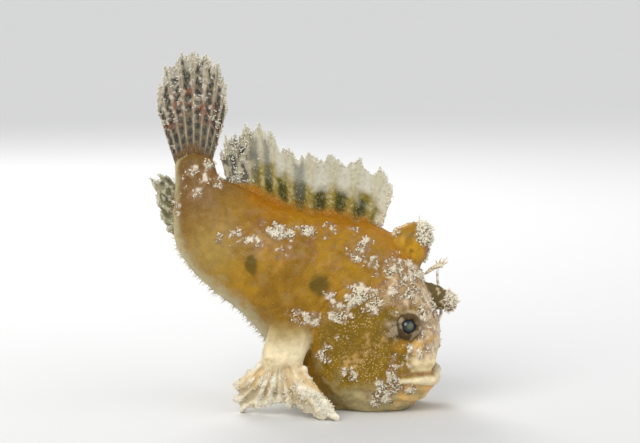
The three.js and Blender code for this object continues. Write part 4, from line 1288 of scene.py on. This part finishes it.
def paint_dorsal(fin):
    """Dark stripes between the rays, a milky top, and dark lace towards the tail."""
    shades, u, v, ridge = DORSAL_COLOURS, fin.u, fin.v, fin.ridge
    cell = np.stack([np.floor(fin.place) * 1.7, 0 * u, 0 * u], -1)
    inside = 1 - smooth(0.12, 0.4, np.abs(np.abs(fin.off) - 0.5))
    low = smooth(0.24, 0.33, u) * (1 - smooth(0.46, 0.64, u + 0.12 * fin.noise(1.5, 60)))
    ahead = 1 - smooth(0.66, 0.76, v)
    top = smooth(0.5, 0.7, u + 0.10 * fin.noise(1.6, 62)) * ahead
    panes = inside * smooth(0.35, 0.5, u) * (1 - smooth(0.86, 0.95, u)) * (noise(cell, 1.0, 63) > 0.15)
    lace = smooth(0.64, 0.74, v + 0.04 * fin.noise(2.0, 68)) * smooth(0.25, 0.4, u + 0.3 * (v - 0.7))
    holes = smooth(-0.05, 0.2, noise(fin.middle * (1, 1, 0.8), 0.95, 65)) * (1 - 0.6 * ridge)
    front = 1 - smooth(0.02, 0.09, v + 0.03 * fin.noise(1.0, 66))
    colours = painted(
        shades["web"],
        (shades["ray"], 0.8 * ridge),
        (shades["stripe"], 0.95 * inside * low * (1 - smooth(0.62, 0.72, v)) * smooth(0.03, 0.1, v)),
        (shades["milk"], 0.9 * top * (1 - 0.3 * ridge)),
        (shades["pane"], 0.7 * panes * ahead),
        (shades["speck"], 0.35 * smooth(0.25, 0.5, fin.noise(0.45, 64)) * (0.4 + ridge)),
        (shades["lace"], 0.9 * lace),
        (shades["hole"], 0.9 * lace * holes),
        (shades["front"], 0.85 * front * smooth(0.1, 0.3, u)),
        (shades["tip"], 0.7 * smooth(0.90, 0.985, u + 0.04 * fin.noise(0.8, 67))),
        (ORANGE, 0.95 * (1 - smooth(0.20, 0.36, u + 0.05 * fin.noise(1.5, 69)))),
    )
    near_ray = np.exp(-((fin.off / 0.2) ** 2))
    crusty = smooth(0.94, 0.99, u) * (0.5 + 0.5 * near_ray) + 1.2 * lace * smooth(0.0, 0.3, -fin.noise(0.95, 65))
    crusty = crusty + 0.8 * front * smooth(0.0, 0.3, fin.noise(0.8, 57)) * smooth(0.1, 0.3, u) + 0.25 * lace * (u > 0.9)
    return colours, np.maximum(ridge, 0.97 - 0.12 * top - 0.15 * lace * holes), crusty


def paint_anal(fin):
    """Dark clouds between the rays and a frosted edge."""
    shades, u = ANAL_COLOURS, fin.u
    cloud = smooth(0, 0.4, fin.noise(1.0, 70))
    specks = smooth(0.1, 0.4, fin.noise(0.6, 72)) * smooth(0.3, 0.6, u)
    colours = painted(
        shades["web"],
        (shades["ray"], 0.9 * fin.ridge),
        (shades["cloud"], 0.75 * cloud * (1 - fin.ridge)),
        (shades["frost"], 0.8 * np.maximum(smooth(0.88, 0.98, u + 0.08 * fin.noise(1.0, 71)), 0.7 * specks)),
        (TAN, 1 - smooth(0.15, 0.35, u)),
    )
    return colours, np.maximum(fin.ridge, 0.95 - 0.1 * cloud), smooth(0.92, 0.98, u) + 0.4 * specks


def fin_paint(name):
    """The kept colours with pale dots and dark grain, clear where the fin isn't solid."""
    paint = Paint(name)
    grain = paint.noise(1800.0, 4.0)
    dots = 1 - paint.between(paint.cells(2600.0), 0.15, 0.3)
    colour = paint.blend(dots * 0.3, paint.kept("tint", "Color"), (0.80, 0.74, 0.55))
    colour = paint.blend(paint.between(grain, 0.45, 0.75, 0.0, 0.3), colour, (0.06, 0.045, 0.02))
    normal = paint.bump(grain * 0.5 + dots * 0.4, 0.6, 0.00012)
    return paint.surface(colour, 0.38, Normal=normal, Alpha=paint.kept("solid"), Subsurface_Weight=0.06,
                         Subsurface_Scale=0.0005, Coat_Weight=0.08, Coat_Roughness=0.25, IOR=1.24)


def web(name, fan, paint_fin):
    """A webbed fin, how crusty it is at each point and which way filaments grow there."""
    fin = Sheet(fan)
    mesh = mesh_of(name, *fin.shell())
    tint, solid, crusty = paint_fin(fin)
    unwrap = fin.both(np.stack([0.02 + 0.46 * fin.v, 0.02 + 0.96 * fin.u, 0 * fin.u], -1))
    unwrap[fin.v.size:, 0] += 0.5
    store(mesh, "tint", fin.both(np.clip(tint, DARKEST, PALEST)), "FLOAT_COLOR")
    store(mesh, "solid", fin.both(np.clip(solid, 0, 1)))
    store(mesh, "unwrap", unwrap, "FLOAT_VECTOR")
    along = unit(np.gradient(fin.middle, axis=1))
    aside = fin.normal * mix(1.6, 0.35, smooth(0.8, 0.98, fin.u))[..., None]
    grow = np.concatenate([(along + aside).reshape(-1, 3), (along - aside).reshape(-1, 3)])
    return show(mesh, fin_paint(name + "_paint")), fin.both(np.clip(crusty, 0, 1)), grow


fins = {
    "tail_fin": web("tail_fin_web", CAUDAL, paint_caudal),
    "dorsal_fin": web("dorsal_fin_web", DORSAL, paint_dorsal),
    "anal_fin": web("anal_fin_web", ANAL, paint_anal),
}


# Cirri: small branching skin filaments, made as a few kinds and set over the surfaces by Geometry Nodes.
def sprig(name, stems, seed):
    """One tuft. Each stem: lean out, length, radius, swell at its end."""
    random = np.random.default_rng(seed)
    shells, up = [], []
    for lean, length, radius, swell in stems:
        turn = random.uniform(0, 2 * math.pi)
        out = np.array([lean * math.cos(turn), lean * math.sin(turn), 1.0])
        bow = random.uniform(-0.25, 0.25, 3) * length
        u = np.linspace(0, 1, 5)
        line = Line(unit(out) * ((length + 0.25) * u - 0.25)[:, None] + bow * (u**2)[:, None])
        size = lambda s: radius * (1 - 0.45 * s + swell * s**3) * np.where(s > 0.98, 0.35, 1)
        points, faces = limb(line, size, size, SPRIG_AXIS, rows=5, around=5)
        shells.append((points, faces))
        up.append(np.clip(points @ unit(out) / length, 0, 1))
    points, faces = join(shells)
    mesh = bpy.data.meshes.new(name)
    mesh.from_pydata((points * MM).tolist(), [], faces)
    mesh.shade_smooth()
    store(mesh, "tip", np.concatenate(up))
    spread = np.maximum(np.abs(points[:, :2]).max(), 0.1)
    store(mesh, "patch", np.column_stack([points[:, :2] / spread * 0.5 + 0.5, 0 * points[:, 0]]), "FLOAT_VECTOR")
    return mesh


def sprig_collection(name, kinds):
    group = bpy.data.collections.new(name)
    for k, (stems, seed) in enumerate(kinds):
        mesh = sprig(f"{name}_{k}", stems, seed)
        group.objects.link(bpy.data.objects.new(mesh.name, mesh))
    return group


def knobs(count, spread, seed):
    """Stems for a cauliflower-like tuft: short, leaning apart, each with a round end."""
    random = np.random.default_rng(seed)
    return tuple(
        (lean, random.uniform(0.22, 0.5), random.uniform(0.075, 0.105), random.uniform(1.3, 2.2))
        for lean in np.linspace(0.1, spread, count)
    )

CRUST_SPRIGS = sprig_collection("crust_sprig", [(knobs(4 + k % 2, 1.5, 60 + k), 60 + k) for k in range(6)])
FIN_SPRIGS = sprig_collection("fin_sprig", [(knobs(2 + k % 2, 1.1, 70 + k), 70 + k) for k in range(4)])
TALL_SPRIGS = sprig_collection("tall_sprig", (
    (((0.1, 1.9, 0.16, 0.2), (0.7, 1.2, 0.12, 0.3), (0.9, 0.8, 0.11, 0.4)), 5),
    (((0.3, 2.2, 0.15, 0.2), (0.6, 1.3, 0.12, 0.3)), 6),
    (((0.2, 1.5, 0.17, 0.3), (0.8, 1.1, 0.12, 0.3), (0.6, 0.7, 0.11, 0.4)), 7),
))
HAIR_SPRIGS = sprig_collection("hair_sprig", (
    (((0.1, 0.8, 0.06, 0.0),), 8),
    (((0.4, 1.1, 0.055, 0.0), (0.8, 0.6, 0.05, 0.0)), 9),
    (((0.3, 0.6, 0.065, 0.1),), 10),
))

LAST_KIND = 11  # numbers past the last kind of sprig start again from the first
CIRRI_SETTINGS = (
    ("Surface", "Geometry", None), ("Sprigs", "Collection", None), ("Finish", "Material", None),
    ("Spacing", "Float", 0.0004), ("Density", "Float", 5e6), ("Smallest", "Float", 0.6),
    ("Largest", "Float", 1.2), ("Unruly", "Float", 0.4), ("Patch Size", "Float", 0.003), ("Seed", "Int", 0),
)


class Growth(Nodes):
    """A Geometry Nodes tree with named inputs."""

    def __init__(self, name, settings):
        super().__init__(bpy.data.node_groups.new(name, "GeometryNodeTree"))
        self.sockets = {}
        for word, kind, default in settings:
            socket = self.tree.interface.new_socket(word, in_out="INPUT", socket_type=f"NodeSocket{kind}")
            if default is not None:
                socket.default_value = default
            self.sockets[word] = socket.identifier
        self.tree.interface.new_socket("Cirri", in_out="OUTPUT", socket_type="NodeSocketGeometry")
        outputs = self.tree.nodes.new("NodeGroupInput").outputs
        self.given = {word: Value(self, outputs[word]) for word in self.sockets}

    def kept(self, name, kind="FLOAT"):
        """A number or direction that is kept on the mesh."""
        return self.node("GeometryNodeInputNamedAttribute", {"data_type": kind}, {"Name": name}, "Attribute")

    def vector(self, operation, a, b):
        second = "Scale" if operation == "SCALE" else 1
        return self.node("ShaderNodeVectorMath", {"operation": operation}, {0: a, second: b})

    def random(self, kind, low, high, seed):
        """A random value of its own for each sprig."""
        first, output = {"FLOAT_VECTOR": (0, 0), "FLOAT": (2, 1), "INT": (4, 2)}[kind]
        inputs = {first: low, first + 1: high, "Seed": seed}
        return self.node("FunctionNodeRandomValue", {"data_type": kind}, inputs, output)


def sprig_turn(tree):
    """Each sprig leans the way it grows there, a little off, and is spun round itself."""
    off = tree.random("FLOAT_VECTOR", (-1, -1, -1), (1, 1, 1), tree.given["Seed"])
    lean = tree.vector("ADD", tree.kept("grow", "FLOAT_VECTOR"), tree.vector("SCALE", off, tree.given["Unruly"]))
    aim = tree.node("FunctionNodeAlignRotationToVector", {"axis": "Z"}, {"Vector": lean})
    spin = tree.node("FunctionNodeAxisAngleToRotation", {}, {"Angle": tree.random("FLOAT", 0.0, 2 * math.pi, 0)})
    return tree.node("FunctionNodeRotateRotation", {"rotation_space": "LOCAL"}, {"Rotation": aim, "Rotate By": spin})


def cirri_tree():
    """Sets sprigs over a surface where its density says, and gives them the bake's map and their finish."""
    tree = Growth("cirri_over_skin", CIRRI_SETTINGS)
    given = tree.given
    points = tree.node("GeometryNodeDistributePointsOnFaces", {"distribute_method": "POISSON"}, {
        "Mesh": given["Surface"], "Distance Min": given["Spacing"], "Density Max": given["Density"],
        "Density Factor": tree.kept("density"), "Seed": given["Seed"]}, "Points")
    kinds = tree.node("GeometryNodeCollectionInfo", {}, {
        "Collection": given["Sprigs"], "Separate Children": True, "Reset Children": True})
    sprigs = tree.node("GeometryNodeInstanceOnPoints", {}, {
        "Points": points, "Instance": kinds, "Pick Instance": True,
        "Instance Index": tree.random("INT", 0, LAST_KIND, given["Seed"]),
        "Rotation": sprig_turn(tree),
        "Scale": tree.random("FLOAT", given["Smallest"], given["Largest"], given["Seed"]) * tree.kept("tall")})
    patch = tree.vector("SCALE", tree.kept("patch", "FLOAT_VECTOR"), given["Patch Size"])
    mapped = tree.node("GeometryNodeStoreNamedAttribute", {"data_type": "FLOAT2", "domain": "CORNER"}, {
        "Name": "OFBake", "Geometry": tree.node("GeometryNodeRealizeInstances", {}, {0: sprigs}),
        "Value": tree.vector("ADD", tree.kept("unwrap", "FLOAT_VECTOR"), patch)})
    finished = tree.node("GeometryNodeSetMaterial", {}, {"Geometry": mapped, "Material": given["Finish"]})
    tree.node("NodeGroupOutput", {}, {0: finished})
    return tree


CIRRI = cirri_tree()


def cirri(name, surface, where, tall, grow, settings):
    """One coat piece over a surface, as a plain mesh."""
    mesh = surface.data
    store(mesh, "density", where)
    store(mesh, "tall", tall)
    store(mesh, "grow", grow, "FLOAT_VECTOR")
    grower = surface.modifiers.new("cirri", "NODES")
    grower.node_group = CIRRI.tree
    for word, value in settings.items():
        grower[CIRRI.sockets[word]] = value
    surface.update_tag()
    made = evaluated(surface)
    surface.modifiers.remove(grower)
    for kept in ("density", "tall", "grow"):
        mesh.attributes.remove(mesh.attributes[kept])
    made.name = name
    made.shade_smooth()
    return show(made)


def coat_paint(name, tips, share, low=0.15, high=0.8):
    """Filaments take the skin's colour at the root and pale towards the tip."""
    paint = Paint(name)
    grain = paint.noise(2200.0)
    colour = paint.blend(paint.between(paint.kept("tip"), low, high, 0.0, share), paint.kept("tint", "Color"), tips)
    colour = paint.blend(paint.between(grain, 0.4, 0.75, 0.0, 0.22), colour, (0.20, 0.13, 0.05))
    return paint.surface(colour, 0.5, Normal=paint.bump(grain, 0.4, 0.00008), Subsurface_Weight=0.12,
                         Subsurface_Scale=0.0005)


CRUST_PAINT = coat_paint("crust_paint", (0.84, 0.77, 0.62), 0.92, 0.05, 0.85)
HAIR_PAINT = coat_paint("hair_paint", (0.80, 0.74, 0.58), 0.75)
FIN_TIP_PAINT = coat_paint("fin_tip_paint", (0.86, 0.82, 0.72), 0.85)
# Where the taller tufts stand on the skin.
JAW_TUFTS = ((15.6, 4.3, 1.6, 2.0, 0, 90), (18.3, 7.0, 1.0, 2.6, -15, 91))  # x, z, across, up, tilt, seed
FLAKES = ((2.9, 33.6), (12.0, 31.4), (-2.6, 30.2), (-10.4, 33.0), (-15.4, 42.2), (5.0, 11.0), (9.5, 8.3))

free = smooth(0.9, 2.0, Z + SHIFT[2])  # 1 where cirri reach neither the floor nor an eye
for side in SIDES:
    free = free * smooth(2.3, 2.9, np.linalg.norm(skin_points - eye_place(side)[0], axis=1))
flesh, ahead = on_body + on_arm > FLESHY, X > 8.5
spines = on_second + on_third > FLESHY
low_edge = 1 - smooth(0.05, 0.16, belly_share())
jaw = np.maximum.reduce([blob(x, z, rx, rz, tilt, wobble=0.5, seed=k) for x, z, rx, rz, tilt, k in JAW_TUFTS])
flakes = np.maximum.reduce([blob(x, z, 0.7, 0.7, wobble=0.3, seed=92 + k) for k, (x, z) in enumerate(FLAKES)])
stands = 0.8 * jaw + 0.9 * flakes + (0.25 * third_top + 0.9 * second_tip) + 0.10 * crust
hairy = (0.04 + 0.9 * low_edge * (skin_t < 0.62)) * (on_body + on_arm) + 0.3 * on_hand
knuckles = on_hand * (smooth(0.0, 0.4, hand_ridges) * 0.7 + 0.22) * (1 - smooth(7, 9, Z))
forehead = blob(19.8, 23.6, 3.2, 4.6, wobble=0.6, seed=31)

# The coat on the skin: name, where its tufts stand, how tall, how far they grow up or down, their kinds,
# finish, spacing in metres, number to a square metre, unruliness, seed.
SKIN_COAT = (
    ("head_crust", crust * flesh * ahead, 0.72 + 0.5 * crust - 0.25 * forehead, 0.25,
     CRUST_SPRIGS, CRUST_PAINT, 0.00037, 10e6, 0.6, 3),
    ("flank_crust", crust * flesh * ~ahead, 0.7 + 0.6 * crust, 0.25,
     CRUST_SPRIGS, CRUST_PAINT, 0.00036, 10e6, 0.6, 4),
    ("spine_crust", crust * spines, 0.8 + 0.5 * crust, 0.25,
     CRUST_SPRIGS, CRUST_PAINT, 0.00032, 12e6, 0.7, 5),
    ("tall_cirri", np.clip(stands, 0, 1), 0.5 + 0.25 * crust, 0.25,
     TALL_SPRIGS, CRUST_PAINT, 0.0006, 1.6e6, 0.5, 6),
    ("bristles", np.clip(hairy, 0, 1), 0.4 + 0.6 * low_edge, 0.25,
     HAIR_SPRIGS, HAIR_PAINT, 0.0004, 3.5e6, 0.5, 7),
    ("hand_crust", np.clip(knuckles, 0, 1), np.full(len(X), 0.95), -0.7,
     FIN_SPRIGS, CRUST_PAINT, 0.0003, 9e6, 0.8, 9),
)


def coat_of_skin(rows):
    """The coat pieces on the skin, clear of the floor and the eyes."""
    return [
        cirri(name, skin_piece, where * free, tall, skin_normals + np.array((0.0, 0.0, rise)),
              {"Sprigs": sprigs, "Finish": finish, "Spacing": spacing, "Density": density, "Unruly": unruly,
               "Seed": seed})
        for name, where, tall, rise, sprigs, finish, spacing, density, unruly, seed in rows
    ]


def fringe(name, length, density):
    """Short knobbly filaments along a fin's edge and on its crusty places."""
    piece, crusty, grow = fins[name]
    return cirri(name + "_fringe", piece, crusty, np.full(len(crusty), length), grow,
                 {"Sprigs": FIN_SPRIGS, "Finish": FIN_TIP_PAINT, "Spacing": 0.0003, "Density": density,
                  "Unruly": 0.5, "Seed": 8})


coat = coat_of_skin(SKIN_COAT[:-1])
coat += [fringe("tail_fin", 0.95, 11e6), fringe("dorsal_fin", 1.0, 11e6), fringe("anal_fin", 0.95, 9e6)]
coat += coat_of_skin(SKIN_COAT[-1:])


# Riding and replacing.
def belongs(piece, slot, *nodes):
    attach(piece, "root")
    if nodes:
        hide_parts(*nodes)


belongs(skin_piece, "yellow_skin", "head", "lower_jaw", "trunk", "tail_stalk", "pectoral_arm_right",
        "pectoral_arm_left", "pectoral_fin_right", "pectoral_fin_left", "pelvic_fin_right", "pelvic_fin_left",
        "second_dorsal_spine", "third_dorsal_spine")
belongs(eyes[RIGHT], "eye", "eye_right")
belongs(eyes[LEFT], "eye", "eye_left")
belongs(rod_piece, "cream_skin", "illicium")
belongs(lure_piece, "cream_skin", "esca")
belongs(fins["dorsal_fin"][0], "striped_fin", "dorsal_fin")
belongs(fins["tail_fin"][0], "clear_fin", "caudal_fin")
belongs(fins["anal_fin"][0], "clear_fin", "anal_fin")
for piece in coat:
    belongs(piece, "clear_fin" if "fringe" in piece.name else "cream_skin")


# The floor: a wide pale disc.
def studio_floor():
    around = 96
    radii = (0.05, 0.2, 0.6, 1.6, 4.0, 9.0)
    points, faces = [(0.0, 0.0, 0.0)], []
    for r in radii:
        points += [(r * math.cos(a), r * math.sin(a), 0.0) for a in np.linspace(0, 2 * math.pi, around, endpoint=False)]
    for k in range(around):
        n = (k + 1) % around
        faces.append((0, 1 + k, 1 + n))
        for r in range(len(radii) - 1):
            a, b = 1 + r * around, 1 + (r + 1) * around
            faces.append((a + k, b + k, b + n, a + n))
    mesh = bpy.data.meshes.new("studio_floor")
    mesh.from_pydata(points, [], faces)
    paint = Paint("pale_floor")
    colour = paint.blend(paint.noise(6.0) * 0.3, (0.70, 0.70, 0.69), (0.65, 0.65, 0.645))
    return show(mesh, paint.surface(colour, 0.75, Normal=paint.bump(paint.noise(900.0), 0.05, 0.0002)))


studio_floor()


# Light and camera.
def lamp(name, kind, place, aim, power, colour=(1, 1, 1), **more):
    data = bpy.data.lights.new(name, kind)
    data.energy, data.color = power, colour
    for key, value in more.items():
        setattr(data, key, value)
    light = bpy.data.objects.new(name, data)
    bpy.context.scene.collection.objects.link(light)
    light.location = place
    light.rotation_euler = (Vector(aim) - Vector(place)).to_track_quat("-Z", "Y").to_euler()


AIM = Vector((0.0032, 0.0, 0.0342))
lamp("key", "SUN", (-0.45, -0.95, 0.85), (0, 0, 0), 1.9, (1.0, 0.985, 0.96), angle=0.7)
lamp("fill", "SUN", (0.9, -0.35, 0.5), (0, 0, 0), 0.95, (0.97, 0.985, 1.0), angle=1.2)
lamp("rim", "AREA", (-0.2, 0.4, 0.4), AIM, 1.6, shape="DISK", size=0.3)

world = bpy.data.worlds.new("studio")
world.use_nodes = True
background = world.node_tree.nodes["Background"].inputs
background["Color"].default_value = (0.95, 0.97, 1.0, 1)
background["Strength"].default_value = 0.5
bpy.context.scene.world = world
bpy.context.scene.view_settings.view_transform = "Standard"

DISTANCE, AZIMUTH, ELEVATION = 0.4, math.radians(5), math.radians(6.5)
SENSOR, LENS = 36.0, 122.3
flat = math.cos(ELEVATION)
back = Vector((math.sin(AZIMUTH) * flat, -math.cos(AZIMUTH) * flat, math.sin(ELEVATION)))
camera = bpy.data.objects.new("camera", bpy.data.cameras.new("camera"))
bpy.context.scene.collection.objects.link(camera)
camera.data.sensor_width, camera.data.lens = SENSOR, LENS
camera.location = AIM + back * DISTANCE
camera.rotation_euler = (-back).to_track_quat("-Z", "Y").to_euler()
camera.data.clip_start, camera.data.clip_end = 0.01, 20
bpy.context.scene.camera = camera
